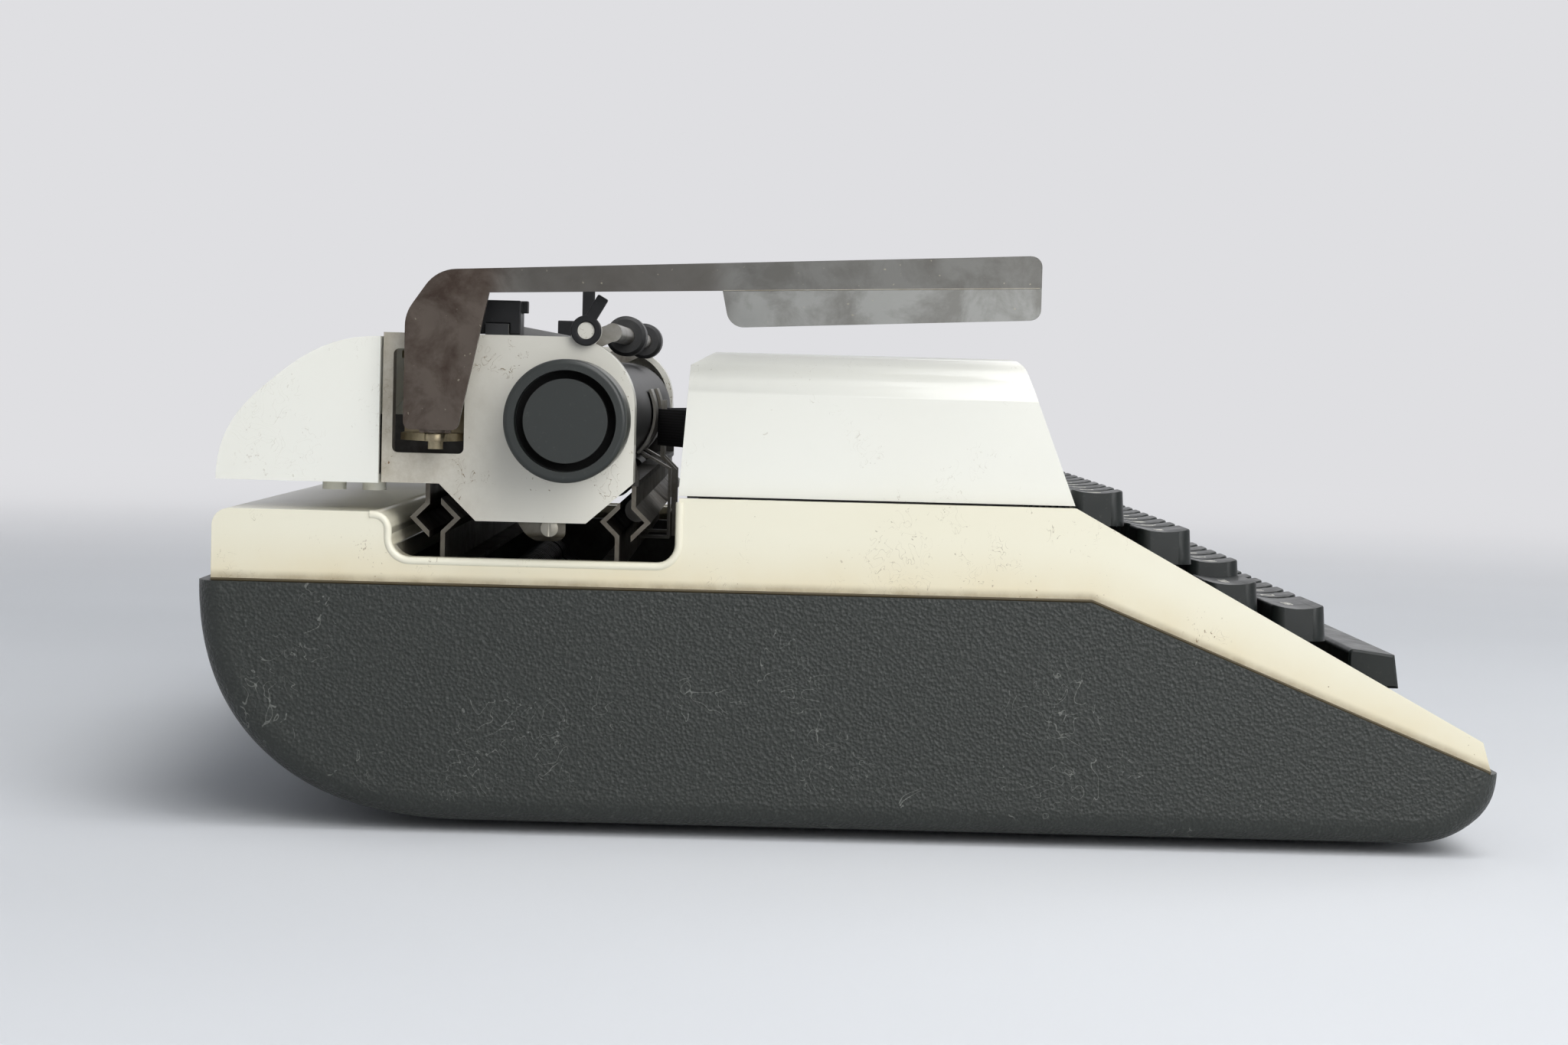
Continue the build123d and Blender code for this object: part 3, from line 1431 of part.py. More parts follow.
# Return lever bracket: folded plate in the left end window, with the lever's upright pin
lever_y = platen_y + lever_pivot_behind
bracket_front_y = platen_y + window_front + fit_gap
bracket_low_z = platen_z - window_bottom + bracket_sheet * bracket_rise_share
bracket_top_z = bracket_low_z + bracket_rise + bracket_radius
bracket_rear_y = bracket_front_y + bracket_depth + bracket_radius
nose_radius = lever_plate_x - lever_pivot_x - running_gap * 2
with BuildPart() as lever_bracket:
    with BuildSketch(Plane.XY.offset(bracket_low_z)):
        with Locations((-plate_outer - bracket_sheet / 2, (bracket_front_y + bracket_rear_y) / 2)):
            Rectangle(bracket_sheet, bracket_rear_y - bracket_front_y)
    extrude(amount=bracket_top_z - bracket_low_z)
    for low in (bracket_low_z, bracket_top_z - bracket_sheet):
        with BuildSketch(Plane.XY.offset(low)):
            with BuildLine():
                Polyline(
                    (-plate_outer, bracket_front_y),
                    (-carriage_half + bracket_sheet, bracket_front_y),
                    (-lever_pivot_x, lever_y - nose_radius),
                    (-lever_pivot_x, lever_y + nose_radius),
                    (-carriage_half + bracket_sheet, bracket_rear_y),
                    (-plate_outer, bracket_rear_y),
                    close=True,
                )
            make_face()
            with Locations((-lever_pivot_x, lever_y)):
                Circle(nose_radius)
        extrude(amount=bracket_sheet)
    with BuildSketch(Plane.XY.offset(bracket_low_z - bracket_sheet)):
        with Locations((-lever_pivot_x, lever_y)):
            Circle(lever_pin_radius)
    extrude(amount=bracket_top_z - bracket_low_z + 2 * bracket_sheet)
save(lever_bracket, "lever_bracket")

# Return lever: formed sheet with an upright plate, a bar over the knob and a broad handle
lever_low_z = platen_z - lever_low_above
lever_tip_y = platen_y - lever_tip_ahead
bar_low_z = platen_z + lever_bar_above
bar_front_y = lever_tip_y + lever_handle_run
plate_top_y = lever_y - lever_plate_foot_depth
tip_top_z = bar_low_z + lever_bar_rise + lever_bar_depth
bend_top_z = bar_low_z + lever_bar_depth
with BuildPart() as return_lever:
    with BuildSketch(side_plane(-lever_plate_x - lever_thickness)) as lever_side:
        with BuildLine():
            Polyline(
                (lever_y - lever_flange, lever_low_z),
                (lever_y + lever_flange + lever_lug, lever_low_z),
                (lever_y + lever_flange + lever_lug, bar_low_z - lever_flange),
                (lever_y, bend_top_z),
                (lever_tip_y, tip_top_z),
                (lever_tip_y, tip_top_z - lever_handle_depth),
                (bar_front_y - lever_flange * lever_heel_lean_share, bar_low_z - lever_bar_rise),
                (bar_front_y, bar_low_z + lever_thickness),
                (plate_top_y, bar_low_z),
                close=True,
            )
        make_face()
        fillet(lever_side.vertices().sort_by(Axis.X)[:2], lever_tip_radius)
        heel = lever_side.vertices().filter_by_position(
            Axis.X, bar_front_y - lever_flange, bar_front_y - fit_gap
        )
        fillet(heel, lever_heel_radius)
        foot = lever_side.vertices().group_by(Axis.Y)[0].sort_by(Axis.X)
        fillet(foot, lever_thickness)
        elbow = lever_side.vertices().filter_by_position(
            Axis.Y, bar_low_z - 2 * lever_flange, bend_top_z + fit_gap
        )
        elbow = elbow.filter_by_position(Axis.X, lever_y - fit_gap, lever_y + 2 * lever_flange)
        fillet(elbow, lever_bend_radius)
    extrude(amount=lever_thickness)
    with BuildSketch(side_plane(-lever_plate_x)):
        with BuildLine():
            Polyline(
                (lever_y - lever_flange, bend_top_z),
                (lever_tip_y + lever_tip_radius, tip_top_z),
                (lever_tip_y + lever_tip_radius, tip_top_z - lever_thickness),
                (lever_y - lever_flange, bend_top_z - lever_thickness),
                close=True,
            )
        make_face()
    extrude(amount=lever_flange - lever_thickness)
    lug_places = (bracket_low_z + bracket_sheet + fit_gap, bracket_top_z - 2 * bracket_sheet - fit_gap)
    for low in lug_places:
        with BuildSketch(Plane.XY.offset(low)):
            with Locations((-lever_pivot_x, lever_y)):
                Circle(2 * lever_pin_radius)
            with Locations((-(lever_pivot_x + lever_plate_x) / 2, lever_y)):
                Rectangle(lever_plate_x - lever_pivot_x, 4 * lever_pin_radius)
            with Locations((-lever_pivot_x, lever_y)):
                Circle(lever_pin_radius + running_gap, mode=Mode.SUBTRACT)
        extrude(amount=lever_lug)
save(return_lever, "return_lever")

# Line space lever at the left end, and the paper release lever at the right end
with BuildPart() as space_lever:
    with BuildSketch(side_plane(-carriage_half - space_blade_width + fit_gap)):
        with Locations(space_pin):
            Circle(space_boss_radius)
        blade_middle = (space_pin[0] - space_boss_radius / 2, space_pin[1] + space_blade_length / 2)
        with Locations(Location(blade_middle, space_blade_turn)):
            Rectangle(space_blade_width, space_blade_length)
        with Locations(space_pin):
            Circle(space_pin_radius + running_gap, mode=Mode.SUBTRACT)
    extrude(amount=space_blade_width - 2 * fit_gap)
save(space_lever, "line_space_lever")
with BuildPart() as release_lever:
    with BuildSketch(side_plane(carriage_half + fit_gap)):
        with Locations(release_pin):
            Circle(release_radius)
        with Locations((release_pin[0], release_pin[1] + release_reach / 2)):
            Rectangle(release_tip, release_reach)
        with Locations(release_pin):
            Circle(space_pin_radius + running_gap, mode=Mode.SUBTRACT)
    extrude(amount=release_thickness - fit_gap)
save(release_lever, "paper_release_lever")
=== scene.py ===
"""Portable typewriter: finishes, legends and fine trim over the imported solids, with its studio."""
import math

import bpy
from bpy.props import EnumProperty, FloatProperty, FloatVectorProperty, IntProperty, PointerProperty, StringProperty
from mathutils import Matrix, Vector


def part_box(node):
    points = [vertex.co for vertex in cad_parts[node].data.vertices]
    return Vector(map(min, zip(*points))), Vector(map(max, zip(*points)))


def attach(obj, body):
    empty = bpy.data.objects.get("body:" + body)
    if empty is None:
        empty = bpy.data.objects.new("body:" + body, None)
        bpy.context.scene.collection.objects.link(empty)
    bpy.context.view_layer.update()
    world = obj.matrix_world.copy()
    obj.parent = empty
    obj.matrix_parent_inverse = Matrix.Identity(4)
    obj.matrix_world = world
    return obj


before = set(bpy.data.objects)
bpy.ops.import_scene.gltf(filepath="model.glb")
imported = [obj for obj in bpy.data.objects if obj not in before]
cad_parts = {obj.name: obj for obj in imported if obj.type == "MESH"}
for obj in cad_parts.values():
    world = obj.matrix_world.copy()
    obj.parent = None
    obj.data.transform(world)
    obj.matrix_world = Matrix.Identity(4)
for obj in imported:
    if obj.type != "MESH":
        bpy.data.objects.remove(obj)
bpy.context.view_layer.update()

bl_info = {
    "name": "Portable Typewriter",
    "version": (1, 0, 0),
    "blender": (4, 5, 0),
    "location": "View3D > Sidebar > Typewriter",
    "description": "Finishes, key legends and trim of a portable typewriter",
    "category": "Object",
}

MM = 0.001
# The denoiser draws a hard edge where a roughness crosses about 0.27, so no finish that varies goes below this.
LEAST_ROUGHNESS = 0.28
SEAM_GAP = 0.8
BODY_LOW, BODY_HIGH = ([size / MM for size in corner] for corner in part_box("body_shell"))
RIM_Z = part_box("lower_shell")[1][2] / MM
SEAM_FRONT = (BODY_LOW[1], BODY_LOW[2])
SEAM_BEND = (-62.6, RIM_Z + SEAM_GAP)
SEAM_REAR = (BODY_HIGH[1], RIM_Z + SEAM_GAP)
CREASE_HEEL = (35.7, 143.7)
CREASE_TIP = (-46.1, 146.4)
LETTER_PITCH = 2.54
PLATEN_AXIS = (74.9, 109.2)
KNOB_GROOVE = (10.8, 13.0)
KEY_PITCH = 19.05
KEY_DEPTH = 15.6
MIDDLE_COLUMN = 6.75
STRUCK_KEY = (3, 5)
DISH_RADIUS = 25.0
DISH_DEPTH = 0.93


def srgb(code):
    """Turn a hex colour as the eye sees it into the linear values that a shader takes."""
    parts = [int(code[place:place + 2], 16) / 255 for place in (1, 3, 5)]
    linear = [part / 12.92 if part <= 0.04045 else ((part + 0.055) / 1.055) ** 2.4 for part in parts]
    return (*linear, 1.0)


def per_mm(size):
    """Pattern scale, in repeats per metre, for a feature of that size in millimetres."""
    return 1 / (size * MM)


class StudioSettings(bpy.types.PropertyGroup):
    """Room and lamps round the machine."""
    floor_colour: FloatVectorProperty(name="Floor colour", description="Pale grey paper sweep",
                                      subtype="COLOR", size=4, default=srgb("#ebedf0"))
    wall_colour: FloatVectorProperty(name="Wall colour", description="The same paper, further from the machine",
                                     subtype="COLOR", size=4, default=srgb("#dfdfe2"))
    flat_radius: FloatProperty(name="Flat floor", description="Radius of the sweep's flat middle",
                               default=1.7, min=0.5, unit="LENGTH")
    sweep_radius: FloatProperty(name="Sweep radius", description="Radius of the curve from floor to wall",
                                default=1.4, min=0.1, unit="LENGTH")
    lamp_level: FloatProperty(name="Lamp level", description="Strength of the large soft lamp",
                              default=20.3, min=0.0)
    fill_level: FloatProperty(name="Fill level", description="Strength of the light from all round",
                              default=0.92, min=0.0)


class FinishSettings(bpy.types.PropertyGroup):
    """Colours and edge sizes of the machine's finishes."""
    cover_colour: FloatVectorProperty(name="Cover enamel", description="Enamel of the ribbon cover and carriage",
                                      subtype="COLOR", size=4, default=srgb("#ecece4"))
    body_colour: FloatVectorProperty(name="Body enamel", description="Enamel of the body shell, a little yellower",
                                     subtype="COLOR", size=4, default=srgb("#ebe7d3"))
    case_colour: FloatVectorProperty(name="Case colour", description="Grained plastic of the lower case",
                                     subtype="COLOR", size=4, default=srgb("#2c2f2c"))
    key_colour: FloatVectorProperty(name="Key colour", description="Plastic of the key caps and knobs",
                                    subtype="COLOR", size=4, default=srgb("#1c201f"))
    sheet_edge: FloatProperty(name="Sheet edge", description="Rounding on the edges of pressed sheet",
                              default=0.5 * MM, min=0.0, unit="LENGTH")
    grain_size: FloatProperty(name="Grain size", description="Width of one cell of the case's leather grain, "
                              "in millimetres", default=0.9, min=0.1)


class LegendSettings(bpy.types.PropertyGroup):
    """Lettering on the key tops."""
    letter_height: FloatProperty(name="Letter height", description="Height of a letter on its key",
                                 default=4.2 * MM, min=0.0, unit="LENGTH")
    letter_thickness: FloatProperty(name="Letter thickness", description="How far the letters stand up",
                                    default=0.06 * MM, min=0.0, unit="LENGTH")


def add_node(tree, kind, settings=None, inputs=None):
    """Add one shader node, set its properties, and give its sockets values or links."""
    node = tree.nodes.new(kind)
    for name, value in (settings or {}).items():
        setattr(node, name, value)
    for name, value in (inputs or {}).items():
        if isinstance(value, bpy.types.NodeSocket):
            tree.links.new(value, node.inputs[name])
        else:
            node.inputs[name].default_value = value
    return node


def start_material(name, colour, roughness, metallic=0.0):
    """A new material with its shader and object coordinates ready."""
    material = bpy.data.materials.new(name)
    material.use_nodes = True
    tree = material.node_tree
    tree.nodes.clear()
    shader = add_node(tree, "ShaderNodeBsdfPrincipled", None,
                      {"Base Color": colour, "Roughness": roughness, "Metallic": metallic})
    add_node(tree, "ShaderNodeOutputMaterial", None, {"Surface": shader.outputs["BSDF"]})
    place = add_node(tree, "ShaderNodeTexCoord").outputs["Object"]
    return material, tree, shader, place


def ramp_stops(node, stops):
    """Set the stops of a colour ramp."""
    elements = node.color_ramp.elements
    while len(elements) > 1:
        elements.remove(elements[-1])
    elements[0].position, elements[0].color = stops[0]
    for position, colour in stops[1:]:
        elements.new(position).color = colour
    return node.outputs["Color"]


def noise(tree, place, size_mm, detail=3.0, rough=0.55, distortion=0.0):
    """Noise with features of about that size in millimetres."""
    node = add_node(tree, "ShaderNodeTexNoise", None,
                    {"Vector": place, "Scale": per_mm(size_mm), "Detail": detail, "Roughness": rough,
                     "Distortion": distortion})
    return node.outputs["Fac"]


def grey(level):
    """A plain grey stop for a mask."""
    return (level, level, level, 1.0)


def blend_colour(tree, mask, first, second):
    """Colour that goes from first to second as the mask rises."""
    node = add_node(tree, "ShaderNodeMix", {"data_type": "RGBA"}, {"Factor": mask})
    for name, value in (("A", first), ("B", second)):
        socket = [one for one in node.inputs if one.name == name and one.type == "RGBA"][0]
        if isinstance(value, bpy.types.NodeSocket):
            tree.links.new(value, socket)
        else:
            socket.default_value = value
    return [one for one in node.outputs if one.type == "RGBA"][0]


def height_bump(tree, shader, height, strength, distance_mm, normal=None):
    """Bump on the shader from a height, given its depth in millimetres."""
    inputs = {"Height": height, "Strength": strength, "Distance": distance_mm * MM}
    if normal:
        inputs["Normal"] = normal
    bump = add_node(tree, "ShaderNodeBump", None, inputs)
    tree.links.new(bump.outputs["Normal"], shader.inputs["Normal"])
    return bump.outputs["Normal"]


def split_place(tree, place):
    """The y and z parts of a place."""
    parts = add_node(tree, "ShaderNodeSeparateXYZ", None, {"Vector": place})
    return parts.outputs["Y"], parts.outputs["Z"]


def sloped_line(tree, across, first, second):
    """Height, at each y, of the line through two points in millimetres."""
    slope = (second[1] - first[1]) / (second[0] - first[0])
    start = (first[1] - first[0] * slope) * MM
    return add_node(tree, "ShaderNodeMath", {"operation": "MULTIPLY_ADD"},
                    {0: across, 1: slope, 2: start}).outputs["Value"]


def math_of(tree, operation, first, second):
    """One sum of two values."""
    return add_node(tree, "ShaderNodeMath", {"operation": operation}, {0: first, 1: second}).outputs["Value"]


def fade(tree, value, start_mm, end_mm):
    """Goes from 0 to 1 while the value goes from the first size to the second."""
    return add_node(tree, "ShaderNodeMapRange", {"clamp": True, "interpolation_type": "SMOOTHSTEP"},
                    {"Value": value, "From Min": start_mm * MM, "From Max": end_mm * MM}).outputs["Result"]


def height_over_seam(tree, place):
    """How far a place lies above the seam between the body and the case."""
    across, up = split_place(tree, place)
    sloped = sloped_line(tree, across, SEAM_FRONT, SEAM_BEND)
    seam = math_of(tree, "MINIMUM", sloped, SEAM_BEND[1] * MM)
    return math_of(tree, "SUBTRACT", up, seam)


def hair_marks(tree, place, size_mm):
    """Thin curled marks, as hairs and light scratches leave in old enamel."""
    curls = noise(tree, place, size_mm, 1, 0.4, 2.5)
    from_middle = math_of(tree, "ABSOLUTE", math_of(tree, "SUBTRACT", curls, 0.5), 0.0)
    thin = math_of(tree, "LESS_THAN", from_middle, 0.006)
    sparse = math_of(tree, "GREATER_THAN", noise(tree, place, 4 * size_mm, 5, 0.7), 0.57)
    return math_of(tree, "MULTIPLY", thin, sparse)


def baked_enamel(name, colour, stain, grime, marks):
    """Baked enamel on pressed steel: glossy, with a faint orange peel, clouds of yellowing and small brown marks."""
    material, tree, shader, place = start_material(name, colour, LEAST_ROUGHNESS)
    shader.inputs["Coat Weight"].default_value = 0.4
    shader.inputs["Coat Roughness"].default_value = 0.1
    clouds = ramp_stops(add_node(tree, "ShaderNodeValToRGB", None, {"Fac": noise(tree, place, 90, 2, 0.4)}),
                        [(0.3, grey(0.0)), (0.85, grey(0.3))])
    aged = blend_colour(tree, clouds, colour, stain)
    if grime == "seam":
        # Hands and cloths leave their dirt along the lower edge, just over the seal.
        over = height_over_seam(tree, place)
        wide = math_of(tree, "MULTIPLY", fade(tree, over, 15, -1), noise(tree, place, 26, 4, 0.55))
        aged = blend_colour(tree, wide, aged, srgb("#dccca4"))
        close = math_of(tree, "MULTIPLY", fade(tree, over, 2.6, 0.2), noise(tree, place, 7, 8, 0.7))
        aged = blend_colour(tree, close, aged, srgb("#7d6a49"))
        spread = fade(tree, over, 15, 2)
    elif grime == "rear":
        # Oil and dust settle on the rear strip of the end covers, round the lever's window.
        across, _ = split_place(tree, place)
        near = fade(tree, across, 84, 122)
        wide = math_of(tree, "MULTIPLY", near, noise(tree, place, 5, 9, 0.75))
        aged = blend_colour(tree, wide, aged, srgb("#857558"))
        spread = fade(tree, across, 40, 120)
    else:
        spread = fade(tree, noise(tree, place, 80, 2), 520, 700)
    speck_field = noise(tree, place, 0.9, 2, 0.5)
    dirt = math_of(tree, "MULTIPLY", speck_field, noise(tree, place, 22, 4, 0.65))
    specks = ramp_stops(add_node(tree, "ShaderNodeValToRGB", None, {"Fac": dirt}),
                        [(0.41, grey(0.0)), (0.45, grey(1.0))])
    seen = math_of(tree, "MULTIPLY", specks, spread)
    aged = blend_colour(tree, seen, aged, srgb("#75552c"))
    lines = math_of(tree, "MULTIPLY", hair_marks(tree, place, 5.0), marks)
    aged = blend_colour(tree, lines, aged, srgb("#8b7c60"))
    tree.links.new(aged, shader.inputs["Base Color"])
    worn = ramp_stops(add_node(tree, "ShaderNodeValToRGB", None, {"Fac": noise(tree, place, 40, 2, 0.4)}),
                      [(0.2, grey(LEAST_ROUGHNESS)), (0.8, grey(0.33))])
    tree.links.new(worn, shader.inputs["Roughness"])
    height_bump(tree, shader, noise(tree, place, 2.2, 2), 0.1, 0.04)
    return material


def leather_grained_abs(name, colour, grain):
    """Moulded ABS with a pebbled leather grain: charcoal, satin, with paler grey on the pebbles that is partly dust
    and partly a painted glint.
    """
    material, tree, shader, place = start_material(name, colour, 0.4)
    shader.inputs["Specular IOR Level"].default_value = 0.38
    # The real pebbles are about half a millimetre wide, and are drawn wider so that they show.
    cells = add_node(tree, "ShaderNodeTexVoronoi", {"feature": "SMOOTH_F1"},
                     {"Vector": place, "Scale": per_mm(grain), "Smoothness": 0.35,
                      "Randomness": 1.0}).outputs["Distance"]
    uneven = noise(tree, place, grain * 1.25, 4, 0.65)
    pebble = add_node(tree, "ShaderNodeMath", {"operation": "MULTIPLY_ADD"},
                      {0: cells, 1: 1.1, 2: uneven}).outputs["Value"]
    # Paler grey where the grain rises: partly dust and partly a painted glint on each pebble.
    tone = ramp_stops(add_node(tree, "ShaderNodeValToRGB", None, {"Fac": uneven}),
                      [(0.54, grey(0.0)), (0.74, grey(0.28))])
    dusty = blend_colour(tree, tone, colour, srgb("#666964"))
    scuff_field = noise(tree, place, 18, 9, 0.75, 1.5)
    scuffs = ramp_stops(add_node(tree, "ShaderNodeValToRGB", None, {"Fac": scuff_field}),
                        [(0.69, grey(0.0)), (0.74, grey(0.4))])
    scuffed = blend_colour(tree, scuffs, dusty, srgb("#8b8d87"))
    scratched = blend_colour(tree, math_of(tree, "MULTIPLY", hair_marks(tree, place, 11.0), 0.4), scuffed,
                             srgb("#8b8d87"))
    tree.links.new(scratched, shader.inputs["Base Color"])
    height_bump(tree, shader, pebble, 0.9, 0.22)
    return material


def moulded_key_plastic(name, colour, roughness):
    """Injection moulded ABS: dark green grey, satin, polished a little by use."""
    material, tree, shader, place = start_material(name, colour, roughness)
    shader.inputs["Specular IOR Level"].default_value = 0.3
    handled = ramp_stops(add_node(tree, "ShaderNodeValToRGB", None, {"Fac": noise(tree, place, 7, 5, 0.6)}),
                         [(0.3, grey(roughness - 0.06)), (0.75, grey(roughness + 0.12))])
    tree.links.new(handled, shader.inputs["Roughness"])
    dust = ramp_stops(add_node(tree, "ShaderNodeValToRGB", None, {"Fac": noise(tree, place, 1.6, 6, 0.7)}),
                      [(0.6, grey(0.0)), (0.8, grey(0.25))])
    dusty = blend_colour(tree, dust, colour, srgb("#6d6f6b"))
    tree.links.new(dusty, shader.inputs["Base Color"])
    height_bump(tree, shader, noise(tree, place, 0.35, 2), 0.15, 0.03)
    return material


def turned_knob_plastic(name, colour, groove):
    """Turned phenolic knob: satin black green face, with painted shade that makes its deep groove show black."""
    material, tree, shader, place = start_material(name, colour, 0.32)
    across, up = split_place(tree, place)
    far_y = math_of(tree, "SUBTRACT", across, PLATEN_AXIS[0] * MM)
    far_z = math_of(tree, "SUBTRACT", up, PLATEN_AXIS[1] * MM)
    squares = math_of(tree, "ADD", math_of(tree, "MULTIPLY", far_y, far_y),
                      math_of(tree, "MULTIPLY", far_z, far_z))
    radius = math_of(tree, "POWER", squares, 0.5)
    # Painted shade: the ring of the deep groove is coloured near black and made dull, for the shade inside it.
    groove_shade = math_of(tree, "MULTIPLY", fade(tree, radius, groove[0] - 0.2, groove[0] + 0.1),
                     fade(tree, radius, groove[1] + 0.1, groove[1] - 0.2))
    dust = ramp_stops(add_node(tree, "ShaderNodeValToRGB", None, {"Fac": noise(tree, place, 1.4, 6, 0.7)}),
                      [(0.6, grey(0.0)), (0.8, grey(0.3))])
    dusty = blend_colour(tree, dust, colour, srgb("#5f625e"))
    # The near black here is painted shade in the groove.
    tree.links.new(blend_colour(tree, groove_shade, dusty, srgb("#030303")), shader.inputs["Base Color"])
    dull = ramp_stops(add_node(tree, "ShaderNodeValToRGB", None, {"Fac": groove_shade}),
                      [(0.0, grey(0.32)), (1.0, grey(0.95))])
    tree.links.new(dull, shader.inputs["Roughness"])
    height_bump(tree, shader, noise(tree, place, 0.5, 3), 0.15, 0.03)
    return material


def plated_steel(name, colour, tarnish, reach, roughness, brush_mm=(0.12, 6.0)):
    """Rolled and plated steel: fine lines along the strip, brown grey tarnish in patches."""
    material, tree, shader, place = start_material(name, colour, roughness, 1.0)
    stretched = add_node(tree, "ShaderNodeMapping", None,
                         {"Vector": place, "Scale": (per_mm(brush_mm[0]), per_mm(brush_mm[1]), per_mm(brush_mm[0]))})
    lines = add_node(tree, "ShaderNodeTexNoise", None,
                     {"Vector": stretched.outputs["Vector"], "Scale": 1.0, "Detail": 3.0}).outputs["Fac"]
    patches = ramp_stops(add_node(tree, "ShaderNodeValToRGB", None,
                                  {"Fac": noise(tree, place, 11, 8, 0.68, 0.6)}),
                         [(0.4, grey(0.0)), (0.68, grey(reach))])
    aged = blend_colour(tree, patches, colour, tarnish)
    tree.links.new(aged, shader.inputs["Base Color"])
    matt = ramp_stops(add_node(tree, "ShaderNodeValToRGB", None, {"Fac": noise(tree, place, 6, 7, 0.7)}),
                      [(0.3, grey(max(roughness - 0.08, LEAST_ROUGHNESS))), (0.75, grey(roughness + 0.2))])
    tree.links.new(matt, shader.inputs["Roughness"])
    height_bump(tree, shader, lines, 0.1, 0.02)
    return material


def handled_lever_steel(name, colour):
    """Plated lever steel: brown tarnish on the upright plate, grey on the bar, a handle rubbed bright, and painted
    shade on the handle's leaf above its crease.
    """
    material, tree, shader, place = start_material(name, colour, 0.3, 1.0)
    across, up = split_place(tree, place)
    stretched = add_node(tree, "ShaderNodeMapping", None,
                         {"Vector": place, "Scale": (per_mm(3), per_mm(9), per_mm(0.25))})
    rubbed = add_node(tree, "ShaderNodeTexNoise", None,
                      {"Vector": stretched.outputs["Vector"], "Scale": 1.0, "Detail": 4.0}).outputs["Fac"]
    blotches = noise(tree, place, 13, 7, 0.66, 0.4)
    patches = ramp_stops(add_node(tree, "ShaderNodeValToRGB", None, {"Fac": blotches}),
                         [(0.42, grey(0.1)), (0.62, grey(1.0))])
    aged = blend_colour(tree, math_of(tree, "MULTIPLY", patches, 0.6), colour, srgb("#5d5b56"))
    plate = fade(tree, across, 84, 98)
    brown = blend_colour(tree, patches, srgb("#625a53"), srgb("#463c36"))
    aged = blend_colour(tree, plate, aged, brown)
    bar = math_of(tree, "MULTIPLY", fade(tree, across, 30, 40), math_of(tree, "SUBTRACT", 1.0, plate))
    aged = blend_colour(tree, math_of(tree, "MULTIPLY", bar, 0.85), aged, srgb("#53504c"))
    crease = sloped_line(tree, across, CREASE_HEEL, CREASE_TIP)
    over = math_of(tree, "SUBTRACT", up, crease)
    # Painted shade: above the crease the handle's leaf is coloured darker, for the fold that turns it from the
    # light.
    shaded_upper_leaf = math_of(tree, "MULTIPLY", fade(tree, over, -0.1, 0.3), fade(tree, across, 40, 30))
    aged = blend_colour(tree, math_of(tree, "MULTIPLY", shaded_upper_leaf, 0.55), aged, srgb("#4d4b48"))
    pits = ramp_stops(add_node(tree, "ShaderNodeValToRGB", None, {"Fac": noise(tree, place, 1.3, 2, 0.5)}),
                      [(0.71, grey(0.0)), (0.76, grey(0.6))])
    aged = blend_colour(tree, pits, aged, srgb("#a09b8a"))
    tree.links.new(aged, shader.inputs["Base Color"])
    matt = ramp_stops(add_node(tree, "ShaderNodeValToRGB", None, {"Fac": noise(tree, place, 7, 7, 0.7)}),
                      [(0.3, grey(LEAST_ROUGHNESS)), (0.75, grey(0.5))])
    tree.links.new(matt, shader.inputs["Roughness"])
    height_bump(tree, shader, rubbed, 0.15, 0.03)
    return material


def graduated_black_paint(name, colour):
    """Black painted rail with fine white divisions, one for each typed letter."""
    material, tree, shader, place = start_material(name, colour, 0.36)
    parts = add_node(tree, "ShaderNodeSeparateXYZ", None, {"Vector": place})
    along = add_node(tree, "ShaderNodeMath", {"operation": "MULTIPLY"},
                     {0: parts.outputs["X"], 1: per_mm(LETTER_PITCH)}).outputs["Value"]
    share = add_node(tree, "ShaderNodeMath", {"operation": "PINGPONG"}, {0: along, 1: 0.5}).outputs["Value"]
    line = math_of(tree, "LESS_THAN", share, 0.09)
    tree.links.new(blend_colour(tree, line, colour, srgb("#c9c8c0")), shader.inputs["Base Color"])
    height_bump(tree, shader, noise(tree, place, 0.6, 2), 0.1, 0.02)
    return material


def dull_rubber(name, colour, roughness=0.62):
    """Ground rubber: matt black with faint grinding marks and paper dust."""
    material, tree, shader, place = start_material(name, colour, roughness)
    dust = ramp_stops(add_node(tree, "ShaderNodeValToRGB", None, {"Fac": noise(tree, place, 5, 8, 0.7)}),
                      [(0.45, grey(0.0)), (0.85, grey(0.3))])
    tree.links.new(blend_colour(tree, dust, colour, srgb("#55554f")), shader.inputs["Base Color"])
    height_bump(tree, shader, noise(tree, place, 0.5, 3), 0.2, 0.03)
    return material


def woven_ribbon(name, colour):
    """Inked cotton ribbon: a fine plain weave, matt and nearly black."""
    material, tree, shader, place = start_material(name, colour, 0.8)
    weave = add_node(tree, "ShaderNodeTexWave", {"bands_direction": "Z"},
                     {"Vector": place, "Scale": per_mm(0.9) / 3, "Distortion": 1.2}).outputs["Fac"]
    tree.links.new(blend_colour(tree, weave, colour, srgb("#26262c")), shader.inputs["Base Color"])
    height_bump(tree, shader, weave, 0.4, 0.05)
    return material


def printed_white(name, colour):
    """Second moulding of the key tops' letters: off white plastic with worn edges."""
    material, tree, shader, place = start_material(name, colour, 0.4)
    worn = ramp_stops(add_node(tree, "ShaderNodeValToRGB", None, {"Fac": noise(tree, place, 0.8, 5, 0.7)}),
                      [(0.55, grey(0.0)), (0.8, grey(0.4))])
    tree.links.new(blend_colour(tree, worn, colour, srgb("#9b9a90")), shader.inputs["Base Color"])
    return material


